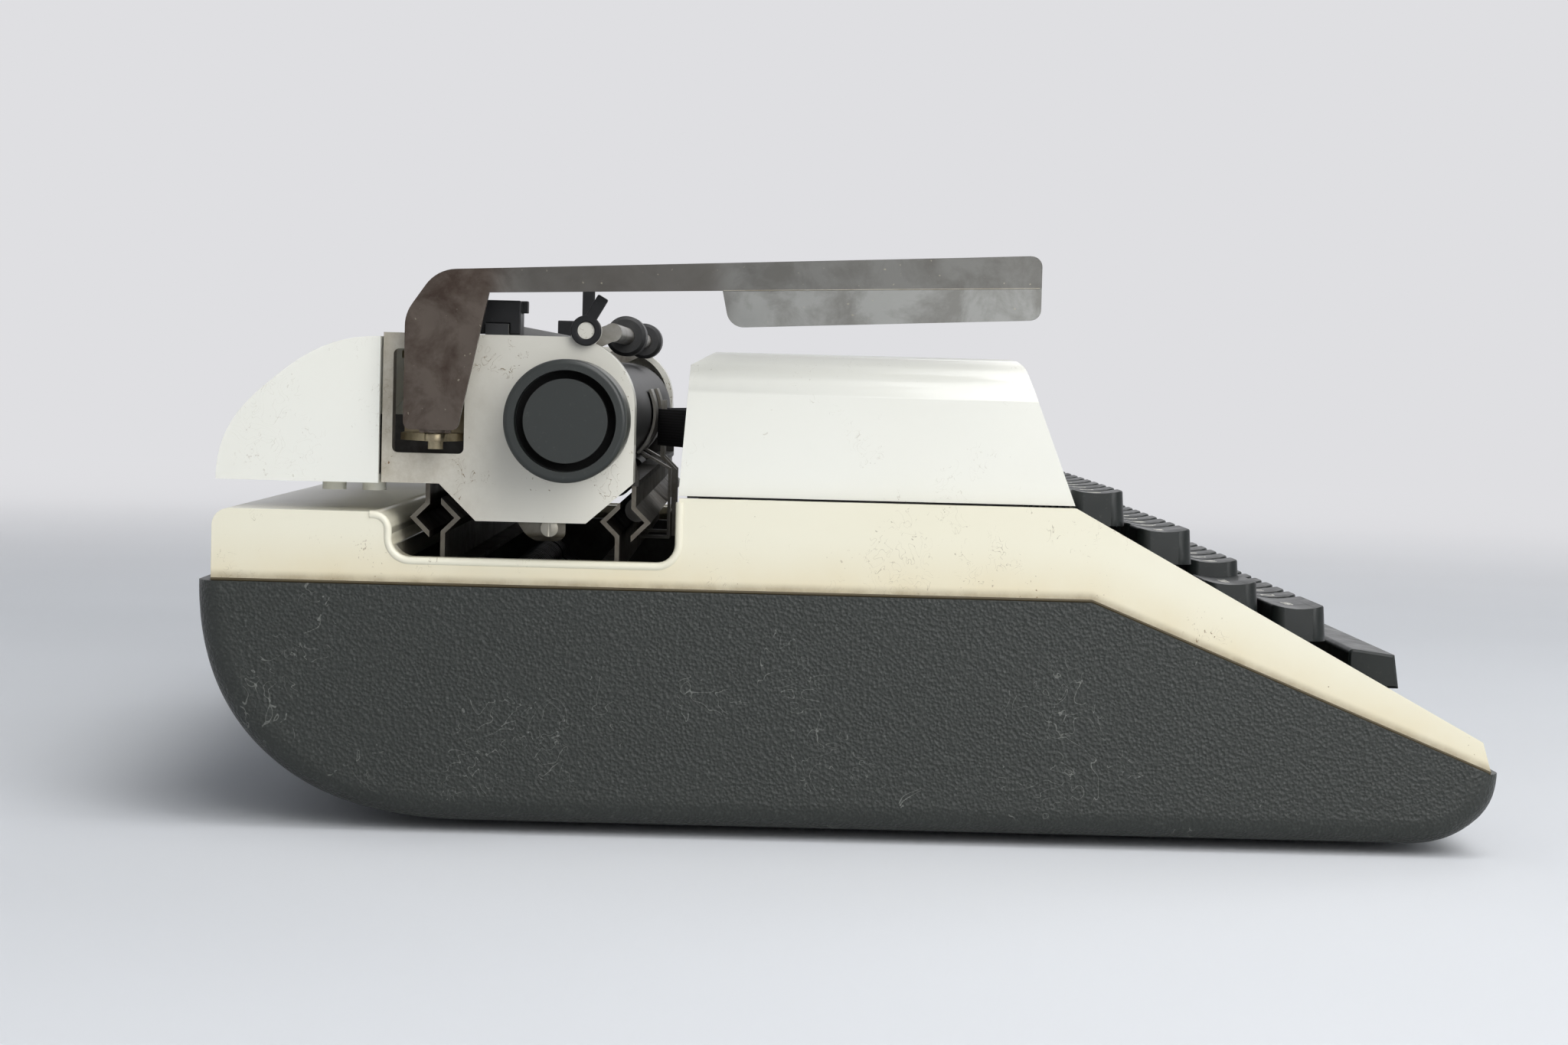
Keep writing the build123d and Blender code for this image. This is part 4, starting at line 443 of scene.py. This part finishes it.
def paper_sweep(name, floor_colour, wall_colour, flat_radius):
    """Matt paper sweep: it keeps the machine's shadow near it, and shows as plain pale paper further out."""
    material, tree, shader, place = start_material(name, floor_colour, 0.9)
    shader.inputs["Specular IOR Level"].default_value = 0.1
    tone = blend_colour(tree, noise(tree, place, 400, 2), floor_colour, srgb("#dee0e3"))
    tree.links.new(tone, shader.inputs["Base Color"])
    glow = add_node(tree, "ShaderNodeEmission", None, {"Color": wall_colour, "Strength": 1.0})
    path = add_node(tree, "ShaderNodeLightPath")
    seen = math_of(tree, "MAXIMUM", path.outputs["Is Camera Ray"], path.outputs["Is Glossy Ray"])
    seen = math_of(tree, "MAXIMUM", seen, path.outputs["Is Transmission Ray"])
    distance = add_node(tree, "ShaderNodeVectorMath", {"operation": "LENGTH"}, {0: place}).outputs["Value"]
    far = fade(tree, distance, 0.28 * flat_radius / MM, 1.15 * flat_radius / MM)
    both = add_node(tree, "ShaderNodeMixShader", None, {0: math_of(tree, "MULTIPLY", seen, far)})
    tree.links.new(shader.outputs["BSDF"], both.inputs[1])
    tree.links.new(glow.outputs["Emission"], both.inputs[2])
    surface = [node for node in tree.nodes if node.type == "OUTPUT_MATERIAL"][0]
    tree.links.new(both.outputs["Shader"], surface.inputs["Surface"])
    return material


def dress(node_name, material):
    """Give a carried-over node its material in every slot."""
    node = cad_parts[node_name]
    if not node.material_slots:
        node.data.materials.append(material)
    for held in node.material_slots:
        held.link = "OBJECT"
        held.material = material
    return node


def round_edges(node_name, width, segments=2, angle=32.0):
    """Round the sharp edges of a carried-over node with live modifiers."""
    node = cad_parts[node_name]
    weld = node.modifiers.new("weld", "WELD")
    weld.merge_threshold = 0.01 * MM
    bevel = node.modifiers.new("edge rounding", "BEVEL")
    bevel.width = width
    bevel.segments = segments
    bevel.limit_method = "ANGLE"
    bevel.angle_limit = math.radians(angle)
    bevel.use_clamp_overlap = True
    bevel.harden_normals = True
    return node


def clear_selection():
    """Leave nothing selected or active."""
    if bpy.context.mode != "OBJECT":
        bpy.ops.object.mode_set(mode="OBJECT")
    bpy.ops.object.select_all(action="DESELECT")
    bpy.context.view_layer.objects.active = None


def settle(piece, material, body):
    """Put a finished piece's place into its mesh, give it its material and let it ride on its body."""
    clear_selection()
    piece.select_set(True)
    bpy.context.view_layer.objects.active = piece
    bpy.ops.object.transform_apply(location=True, rotation=True, scale=True)
    piece.data.materials.clear()
    piece.data.materials.append(material)
    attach(piece, body)
    return piece


def join_pieces(pieces, name):
    """Make several meshes one object."""
    clear_selection()
    for piece in pieces:
        piece.select_set(True)
    bpy.context.view_layer.objects.active = pieces[0]
    if len(pieces) > 1:
        bpy.ops.object.join()
    pieces[0].name = name
    pieces[0].data.name = name
    return pieces[0]


def enter_edit(kind="VERT"):
    """Go into edit mode with nothing selected."""
    bpy.ops.object.mode_set(mode="EDIT")
    bpy.ops.mesh.select_mode(type=kind)
    bpy.ops.mesh.select_all(action="DESELECT")
    bpy.ops.object.mode_set(mode="OBJECT")


def select_where(piece, kind, test):
    """Select the faces, edges or corners that pass a test, and go back into edit mode."""
    bpy.ops.object.mode_set(mode="OBJECT")
    parts = {"FACE": piece.data.polygons, "EDGE": piece.data.edges, "VERT": piece.data.vertices}
    for part in piece.data.vertices:
        part.select = False
    for part in piece.data.edges:
        part.select = False
    for part in piece.data.polygons:
        part.select = False
    for part in parts[kind]:
        part.select = test(part)
    bpy.ops.object.mode_set(mode="EDIT")


def apply_modifier(piece, kind, settings):
    """Add a modifier, set it and apply it."""
    modifier = piece.modifiers.new(kind.lower(), kind)
    for name, value in settings.items():
        setattr(modifier, name, value)
    bpy.ops.object.modifier_apply(modifier=modifier.name)


def rod_along(name, points, radius, sides=4):
    """A round bead of that radius in millimetres: a corner drawn out along points, then given its thickness."""
    clear_selection()
    start = Vector(points[0]) * MM
    bpy.ops.mesh.primitive_plane_add(size=MM, location=start)
    bead = bpy.context.object
    bead.name = name
    enter_edit()
    select_where(bead, "VERT", lambda corner: corner.index > 0)
    bpy.ops.mesh.delete(type="VERT")
    bpy.ops.mesh.select_all(action="SELECT")
    bpy.ops.object.mode_set(mode="OBJECT")
    corner = bead.matrix_world @ bead.data.vertices[0].co
    bpy.ops.object.mode_set(mode="EDIT")
    bpy.ops.transform.translate(value=start - corner)
    for before, after in zip(points, points[1:]):
        step = (Vector(after) - Vector(before)) * MM
        bpy.ops.mesh.extrude_region_move(TRANSFORM_OT_translate={"value": step})
    bpy.ops.object.mode_set(mode="OBJECT")
    bpy.ops.object.convert(target="CURVE")
    bead = bpy.context.object
    bead.data.bevel_depth = radius * MM
    bead.data.bevel_resolution = sides
    bead.data.use_fill_caps = True
    bpy.ops.object.convert(target="MESH")
    bpy.ops.object.shade_smooth_by_angle(angle=math.radians(40))
    return bpy.context.object


def slotted_screw(name, place, radius, head, outward):
    """A slotted cheese head in millimetres, its rim rounded and its slot sunk, facing along X."""
    clear_selection()
    bpy.ops.mesh.primitive_cylinder_add(vertices=40, radius=radius * MM, depth=head * MM,
                                        location=Vector(place) * MM,
                                        rotation=(0.0, outward * math.pi / 2, 0.0))
    screw = bpy.context.object
    screw.name = name
    bpy.ops.object.transform_apply(location=False, rotation=True, scale=False)
    slot = radius * 0.16 * MM
    bpy.ops.object.mode_set(mode="EDIT")
    for side in (-1, 1):
        bpy.ops.mesh.select_all(action="SELECT")
        cut = screw.matrix_world @ Vector((0.0, 0.0, 0.0)) + Vector((0.0, side * slot, 0.0))
        bpy.ops.mesh.bisect(plane_co=cut, plane_no=(0.0, 1.0, 0.0))
    select_where(screw, "FACE", lambda face: face.normal.x * outward > 0.9 and abs(face.center.y) < slot * 0.5)
    bpy.ops.mesh.inset(thickness=0.02 * MM, depth=0.0)
    bpy.ops.mesh.extrude_region_move(TRANSFORM_OT_translate={"value": (-outward * head * 0.45 * MM, 0.0, 0.0)})
    bpy.ops.object.mode_set(mode="OBJECT")
    apply_modifier(screw, "BEVEL", {"width": 0.18 * MM, "segments": 2, "limit_method": "ANGLE",
                                    "angle_limit": math.radians(50)})
    bpy.ops.object.shade_smooth_by_angle(angle=math.radians(35))
    return screw


def tongue_plate(name, middle, half_width, drop, thickness):
    """A plate in millimetres that hangs from a straight top and tapers to a rounded foot, in a YZ plane."""
    clear_selection()
    bpy.ops.mesh.primitive_cube_add(size=1.0, location=Vector(middle) * MM,
                                    scale=(thickness * MM, 2 * half_width * MM, drop * MM))
    plate = bpy.context.object
    plate.name = name
    bpy.ops.object.transform_apply(location=False, rotation=False, scale=True)
    enter_edit()
    select_where(plate, "VERT", lambda corner: corner.co.z < 0 and corner.co.y > 0)
    bpy.ops.transform.translate(value=(0.0, -half_width * 0.75 * MM, 0.0))
    select_where(plate, "EDGE", lambda edge: all(plate.data.vertices[one].co.z < 0 for one in edge.vertices)
                 and abs(plate.data.vertices[edge.vertices[0]].co.y
                         - plate.data.vertices[edge.vertices[1]].co.y) < MM / 100)
    bpy.ops.mesh.bevel(offset=drop * 0.3 * MM, segments=8, affect="EDGES")
    bpy.ops.object.mode_set(mode="OBJECT")
    apply_modifier(plate, "BEVEL", {"width": 0.15 * MM, "segments": 2, "limit_method": "ANGLE",
                                    "angle_limit": math.radians(50)})
    bpy.ops.object.shade_smooth_by_angle(angle=math.radians(35))
    return plate


def arc_points(centre, radius, start, end, count):
    """Points of an arc in the YZ plane, as pairs in millimetres."""
    turns = [math.radians(start + (end - start) * step / count) for step in range(count + 1)]
    return [(centre[0] + radius * math.cos(turn), centre[1] + radius * math.sin(turn)) for turn in turns]


class TYPEWRITER_OT_stage(bpy.types.Operator):
    """Paper sweep, soft lamps and the camera at the photograph's angle"""
    bl_idname = "typewriter.stage"
    bl_label = "Studio"

    def execute(self, context):
        """Build the studio."""
        studio = context.scene.typewriter_studio
        clear_selection()
        bpy.ops.mesh.primitive_circle_add(vertices=128, radius=studio.flat_radius, fill_type="NGON")
        sweep = context.object
        sweep.name = "paper_sweep"
        enter_edit("EDGE")
        select_where(sweep, "EDGE", lambda edge: True)
        steps = 16
        for step in range(steps):
            low, high = (math.pi / 2 * (step + place) / steps for place in (0, 1))
            out = studio.flat_radius + studio.sweep_radius * math.sin(low)
            further = studio.flat_radius + studio.sweep_radius * math.sin(high)
            rise = studio.sweep_radius * (math.cos(low) - math.cos(high))
            bpy.ops.mesh.extrude_region_move(TRANSFORM_OT_translate={"value": (0.0, 0.0, rise)})
            bpy.ops.transform.resize(value=(further / out, further / out, 1.0))
        bpy.ops.mesh.extrude_region_move(TRANSFORM_OT_translate={"value": (0.0, 0.0, 1.0)})
        bpy.ops.object.mode_set(mode="OBJECT")
        bpy.ops.object.shade_smooth_by_angle(angle=math.radians(30))
        sweep.data.materials.append(paper_sweep("matt_sweep_paper", studio.floor_colour, studio.wall_colour,
                                                studio.flat_radius))
        world = bpy.data.worlds.new("studio")
        world.use_nodes = True
        context.scene.world = world
        tree = world.node_tree
        tree.nodes.clear()
        path = add_node(tree, "ShaderNodeLightPath")
        seen = add_node(tree, "ShaderNodeMath", {"operation": "MAXIMUM"},
                        {0: path.outputs["Is Camera Ray"], 1: path.outputs["Is Transmission Ray"]})
        lit = add_node(tree, "ShaderNodeBackground", None,
                       {"Color": srgb("#f4f5f8"), "Strength": studio.fill_level})
        wall = add_node(tree, "ShaderNodeBackground", None, {"Color": srgb("#d6d6d9"), "Strength": 1.0})
        both = add_node(tree, "ShaderNodeMixShader", None, {0: seen.outputs["Value"]})
        tree.links.new(lit.outputs["Background"], both.inputs[1])
        tree.links.new(wall.outputs["Background"], both.inputs[2])
        add_node(tree, "ShaderNodeOutputWorld", None, {"Surface": both.outputs["Shader"]})
        for name, place, size, share in (("soft_lamp_key", (-1.5, -0.75, 0.85), 1.4, 1.08),
                                         ("soft_lamp_over", (-0.5, -0.5, 1.55), 0.95, 0.5),
                                         ("soft_lamp_side", (1.5, -0.9, 1.4), 1.2, 0.3)):
            lamp_data = bpy.data.lights.new(name, "AREA")
            lamp_data.size = size
            lamp_data.energy = studio.lamp_level * share
            lamp = bpy.data.objects.new(name, lamp_data)
            lamp.location = place
            lamp.visible_camera = False
            aim = Vector((0.0, 0.0, 0.08)) - Vector(place)
            lamp.rotation_euler = aim.to_track_quat("-Z", "Y").to_euler()
            context.collection.objects.link(lamp)
        lens = bpy.data.cameras.new("camera")
        lens.sensor_width = 36.0
        lens.lens = 67.06
        lens.clip_start = 0.01
        camera = bpy.data.objects.new("camera", lens)
        right = Vector((-0.00628267, -0.99963846, 0.02614324))
        down = Vector((-0.05091583, -0.02579006, -0.9983699))
        onward = Vector((0.99868319, -0.00760354, -0.05073539))
        turn = Matrix((right, -down, -onward)).transposed()
        camera.matrix_world = Matrix.Translation((-0.93, 0.02425, 0.1226)) @ turn.to_4x4()
        context.collection.objects.link(camera)
        context.scene.camera = camera
        context.scene.view_settings.view_transform = "Standard"
        return {"FINISHED"}


class TYPEWRITER_OT_enamel(bpy.types.Operator):
    """Enamel on the body shell, ribbon cover, end covers, fairing and paper support"""
    bl_idname = "typewriter.enamel"
    bl_label = "Enamelled covers"

    def execute(self, context):
        """Paint the covers."""
        finish = context.scene.typewriter_finish
        clean = baked_enamel("baked_enamel_cover", finish.cover_colour, srgb("#e6e2d0"), "none", 0.25)
        aged = baked_enamel("baked_enamel_body", finish.body_colour, srgb("#e2d9b8"), "seam", 0.5)
        grimy = baked_enamel("baked_enamel_end", srgb("#e2e0d6"), srgb("#d0cab8"), "rear", 1.0)
        for name, paint in (("ribbon_cover", clean), ("rear_fairing", clean), ("paper_support", clean),
                            ("body_shell", aged), ("end_cover_left", grimy), ("end_cover_right", grimy)):
            dress(name, paint)
            round_edges(name, 2 * finish.sheet_edge)
        return {"FINISHED"}


class TYPEWRITER_OT_case(bpy.types.Operator):
    """Grained lower case and its rubber feet"""
    bl_idname = "typewriter.case"
    bl_label = "Lower case"

    def execute(self, context):
        """Grain the case."""
        finish = context.scene.typewriter_finish
        dress("lower_shell", leather_grained_abs("leather_grained_abs", finish.case_colour, finish.grain_size))
        round_edges("lower_shell", finish.sheet_edge)
        dress("rubber_feet", dull_rubber("moulded_foot_rubber", srgb("#1b1b1d")))
        return {"FINISHED"}


class TYPEWRITER_OT_keys(bpy.types.Operator):
    """Plastic of all the key caps, the space bar and the knobs"""
    bl_idname = "typewriter.keys"
    bl_label = "Keys and knobs"

    def execute(self, context):
        """Finish the keys."""
        finish = context.scene.typewriter_finish
        plastic = moulded_key_plastic("satin_key_abs", finish.key_colour, 0.34)
        names = ["keys_row_1", "keys_row_2", "keys_row_3", "keys_row_4", "struck_key", "shift_keys",
                 "tab_key", "shift_lock_key", "margin_release_key", "backspace_key", "space_bar"]
        for name in names:
            dress(name, plastic)
            round_edges(name, 0.5 * finish.sheet_edge)
        knob_plastic = turned_knob_plastic("turned_knob_phenolic", srgb("#232725"), KNOB_GROOVE)
        for name in ("knob_left", "knob_right"):
            dress(name, knob_plastic)
            round_edges(name, 0.6 * finish.sheet_edge)
        return {"FINISHED"}


class TYPEWRITER_OT_metal(bpy.types.Operator):
    """Steel, brass, rubber and black paint of the mechanism and the carriage"""
    bl_idname = "typewriter.metal"
    bl_label = "Mechanism finishes"

    def execute(self, context):
        """Finish the mechanism."""
        finish = context.scene.typewriter_finish
        bright = plated_steel("nickel_plated_steel", srgb("#93918b"), srgb("#5f584c"), 0.85, 0.32)
        oiled = plated_steel("oiled_pressed_steel", srgb("#4a4947"), srgb("#2d2925"), 0.8, 0.42)
        polished = plated_steel("polished_type_steel", srgb("#a5a4a0"), srgb("#77716a"), 0.5, 0.24)
        brass = plated_steel("dull_plated_brass", srgb("#a89d84"), srgb("#5b4e39"), 0.7, 0.34)
        black = moulded_key_plastic("satin_black_paint", srgb("#131416"), 0.36)
        roll = dull_rubber("ground_platen_rubber", srgb("#232324"), 0.5)
        lever_steel = handled_lever_steel("worn_lever_steel", srgb("#8f908d"))
        rail_steel = plated_steel("worn_rail_steel", srgb("#716d65"), srgb("#47403a"), 0.9, 0.4)
        finishes = {
            rail_steel: ["rear_rail", "front_rail", "carriage_rails"],
            bright: ["card_guides", "ribbon_vibrator",
                     "mainspring_drum", "platen_shaft", "bail_frame"],
            oiled: ["cover_hinges", "frame_left", "frame_right", "frame_rods", "levers_row_1", "levers_row_2",
                    "levers_row_3", "levers_row_4", "struck_key_lever", "shift_levers", "space_bar_frame",
                    "type_segment", "carriage_frame"],
            polished: ["typebars", "struck_typebar", "rail_rollers"],
            brass: ["lever_bracket"],
            black: ["spool_cups", "spool_left", "spool_right", "paper_table", "margin_stop_left",
                    "margin_stop_right", "line_space_lever", "paper_release_lever"],
            graduated_black_paint("graduated_black_paint", srgb("#131416")): ["margin_rail"],
            roll: ["platen", "feed_rollers", "bail_rollers"],
            lever_steel: ["return_lever"],
            woven_ribbon("inked_cotton_ribbon", srgb("#101013")): ["ribbon"],
        }
        for material, names in finishes.items():
            for name in names:
                dress(name, material)
        for name in ("return_lever", "margin_stop_left", "margin_stop_right", "line_space_lever",
                     "paper_release_lever", "lever_bracket", "paper_table"):
            round_edges(name, 0.7 * finish.sheet_edge)
        return {"FINISHED"}


def key_letters():
    """For each row of keys: the place of its first key in key widths, and its letters from left to right."""
    return ((0.0, list("1234567890-=+")), (1.5, list("QWERTYUIOP") + ["["]),
            (1.75, list("ASDFGHJKL") + [";", "'", "]"]), (2.25, list("ZXCVBNM") + [",", ".", "/"]))


def function_words():
    """For each wide key: its node, its word, its body and how far its middle lies from the machine's."""
    return (("tab_key", "TAB", "tab", -123.8), ("shift_lock_key", "LOCK", "shift_lock", -121.4),
            ("margin_release_key", "MR", "margin_release", 119.1), ("backspace_key", "BACK", "backspace", 123.8),
            ("shift_keys", "SHIFT", "shift", -116.7), ("shift_keys", "SHIFT", "shift", 116.7))


def place_legend(text, height, x, node_name, thickness):
    """Write a legend as a mesh and bend it to the dish of its key, whose front and top come from its node."""
    low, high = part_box(node_name)
    clear_selection()
    bpy.ops.object.text_add(location=(0.0, 0.0, 0.0))
    sign = bpy.context.object
    sign.data.body = text
    sign.data.size = height * 1.35
    sign.data.align_x = "CENTER"
    sign.data.align_y = "CENTER"
    sign.data.resolution_u = 4
    sign.data.extrude = thickness
    bpy.ops.object.convert(target="MESH")
    sign = bpy.context.object
    radius = DISH_RADIUS * MM
    for corner in sign.data.vertices:
        sag = radius - math.sqrt(radius ** 2 - corner.co.y ** 2) - DISH_DEPTH * MM
        corner.co += Vector((x * MM, low[1] + KEY_DEPTH * MM / 2, high[2] + sag))
    return sign


class TYPEWRITER_OT_legends(bpy.types.Operator):
    """Letters, numbers and words on the key tops"""
    bl_idname = "typewriter.legends"
    bl_label = "Key legends"

    def execute(self, context):
        """Letter the keys."""
        settings = context.scene.typewriter_legends
        white = printed_white("key_letter_white", srgb("#dcdad0"))
        for row, (first, letters) in enumerate(key_letters(), 1):
            signs = {"row_%d" % row: [], "struck": []}
            for place, letter in enumerate(letters):
                x = (first + place - MIDDLE_COLUMN) * KEY_PITCH
                body = "struck" if (row, place) == STRUCK_KEY else "row_%d" % row
                signs[body].append(place_legend(letter, settings.letter_height, x, "keys_row_%d" % row,
                                                settings.letter_thickness))
            for body, parts in signs.items():
                if parts:
                    settle(join_pieces(parts, "legends_" + body), white, body)
        for node_name, word, body, x in function_words():
            sign = place_legend(word, settings.letter_height * 0.6, x, node_name, settings.letter_thickness)
            sign.name = "legend_" + body + ("_left" if x < 0 else "_right")
            settle(sign, white, body)
        return {"FINISHED"}


class TYPEWRITER_OT_beads(bpy.types.Operator):
    """Rolled bead round each side cutout of the body, and the seal in the seam"""
    bl_idname = "typewriter.beads"
    bl_label = "Beads and seal"

    def execute(self, context):
        """Roll the beads."""
        finish = context.scene.typewriter_finish
        paint = baked_enamel("baked_enamel_bead", finish.body_colour, srgb("#ddd3b0"), "none", 0.6)
        seal_rubber = dull_rubber("aged_seam_seal", srgb("#4a3f26"))
        # Black felt, used as painted shade in the gap under the ribbon cover.
        felt_shade = woven_ribbon("pressed_black_felt_shade", srgb("#1c1b1a"))
        low, deck, seat = 72.0, 84.0, 89.5
        rear, front, bend = 121.5, 46.0, 6.0
        path = [(rear + 5.0, deck - 0.8)]
        path += arc_points((rear + 4.0, deck - 4.5), 3.7, 90.0, 180.0, 6)
        path += arc_points((rear - bend + 0.3, low + bend - 0.6), bend, 0.0, -90.0, 8)
        path += arc_points((front + bend - 0.3, low + bend - 0.6), bend, -90.0, -180.0, 8)
        path += [(front - 0.3, seat - 1.0)]
        for side, name in ((-1, "left"), (1, "right")):
            bead = rod_along("cutout_bead_" + name, [(side * 168.4, y, z) for y, z in path], 1.1, sides=6)
            settle(bead, paint, "base")
            seam = [(side * 168.7, y, z - 0.4) for y, z in (SEAM_REAR, SEAM_BEND, SEAM_FRONT)]
            settle(rod_along("seam_seal_" + name, seam, 0.5), seal_rubber, "base")
            # Painted shade: a thin black felt strip under each side of the ribbon cover, which draws the dark line
            # of shade in the gap there.
            strip = [(side * 164.0, y, 89.72) for y in (44.0, -43.0)]
            settle(rod_along("cover_felt_shade_" + name, strip, 0.26), felt_shade, "base")
        return {"FINISHED"}


class TYPEWRITER_OT_trim(bpy.types.Operator):
    """Lug plates with their slotted screws under the end covers, and a bright rod along the crease of the lever's
    handle as a painted highlight
    """
    bl_idname = "typewriter.trim"
    bl_label = "Small trim"

    def execute(self, context):
        """Model the trim."""
        zinc = plated_steel("zinc_plated_lug", srgb("#66635c"), srgb("#453f33"), 0.7, 0.45)
        screw_steel = plated_steel("turned_screw_steel", srgb("#98958b"), srgb("#6a604b"), 0.7, 0.34)
        for side, name in ((-1, "left"), (1, "right")):
            plate = tongue_plate("lug_plate_" + name, (side * 159.2, 83.6, 81.2), 7.6, 8.4, 1.2)
            settle(plate, zinc, "carriage")
            screw = slotted_screw("lug_screw_" + name, (side * 160.2, 80.2, 80.4), 2.3, 1.2, side)
            settle(screw, screw_steel, "carriage")
        # The crease is a thin rod in bright screw steel: a painted highlight along the fold of the handle.
        crease = rod_along("handle_crease_highlight", [(-173.05, *CREASE_HEEL), (-173.05, *CREASE_TIP)], 0.16)
        settle(crease, screw_steel, "lever")
        return {"FINISHED"}


class TYPEWRITER_PT_panel(bpy.types.Panel):
    """Lists the typewriter's making steps"""
    bl_idname = "TYPEWRITER_PT_panel"
    bl_label = "Typewriter"
    bl_space_type = "VIEW_3D"
    bl_region_type = "UI"
    bl_category = "Typewriter"

    def draw(self, context):
        """Draw the settings and the operators."""
        layout = self.layout
        for group in (context.scene.typewriter_studio, context.scene.typewriter_finish,
                      context.scene.typewriter_legends):
            for name in group.__annotations__:
                layout.prop(group, name)
        for step in STEPS:
            layout.operator(step.bl_idname)


STEPS = (TYPEWRITER_OT_stage, TYPEWRITER_OT_enamel, TYPEWRITER_OT_case, TYPEWRITER_OT_keys,
         TYPEWRITER_OT_metal, TYPEWRITER_OT_legends, TYPEWRITER_OT_beads, TYPEWRITER_OT_trim)
CLASSES = (StudioSettings, FinishSettings, LegendSettings) + STEPS + (TYPEWRITER_PT_panel,)


def register():
    """Add the classes and the scene's settings."""
    for one in CLASSES:
        bpy.utils.register_class(one)
    bpy.types.Scene.typewriter_studio = PointerProperty(type=StudioSettings)
    bpy.types.Scene.typewriter_finish = PointerProperty(type=FinishSettings)
    bpy.types.Scene.typewriter_legends = PointerProperty(type=LegendSettings)


def unregister():
    """Take the classes and settings away again."""
    del bpy.types.Scene.typewriter_legends
    del bpy.types.Scene.typewriter_finish
    del bpy.types.Scene.typewriter_studio
    for one in reversed(CLASSES):
        bpy.utils.unregister_class(one)


def main():
    """Run every step."""
    register()
    for step in STEPS:
        group, name = step.bl_idname.split(".")
        getattr(getattr(bpy.ops, group), name)()


if __name__ == "__main__":
    main()
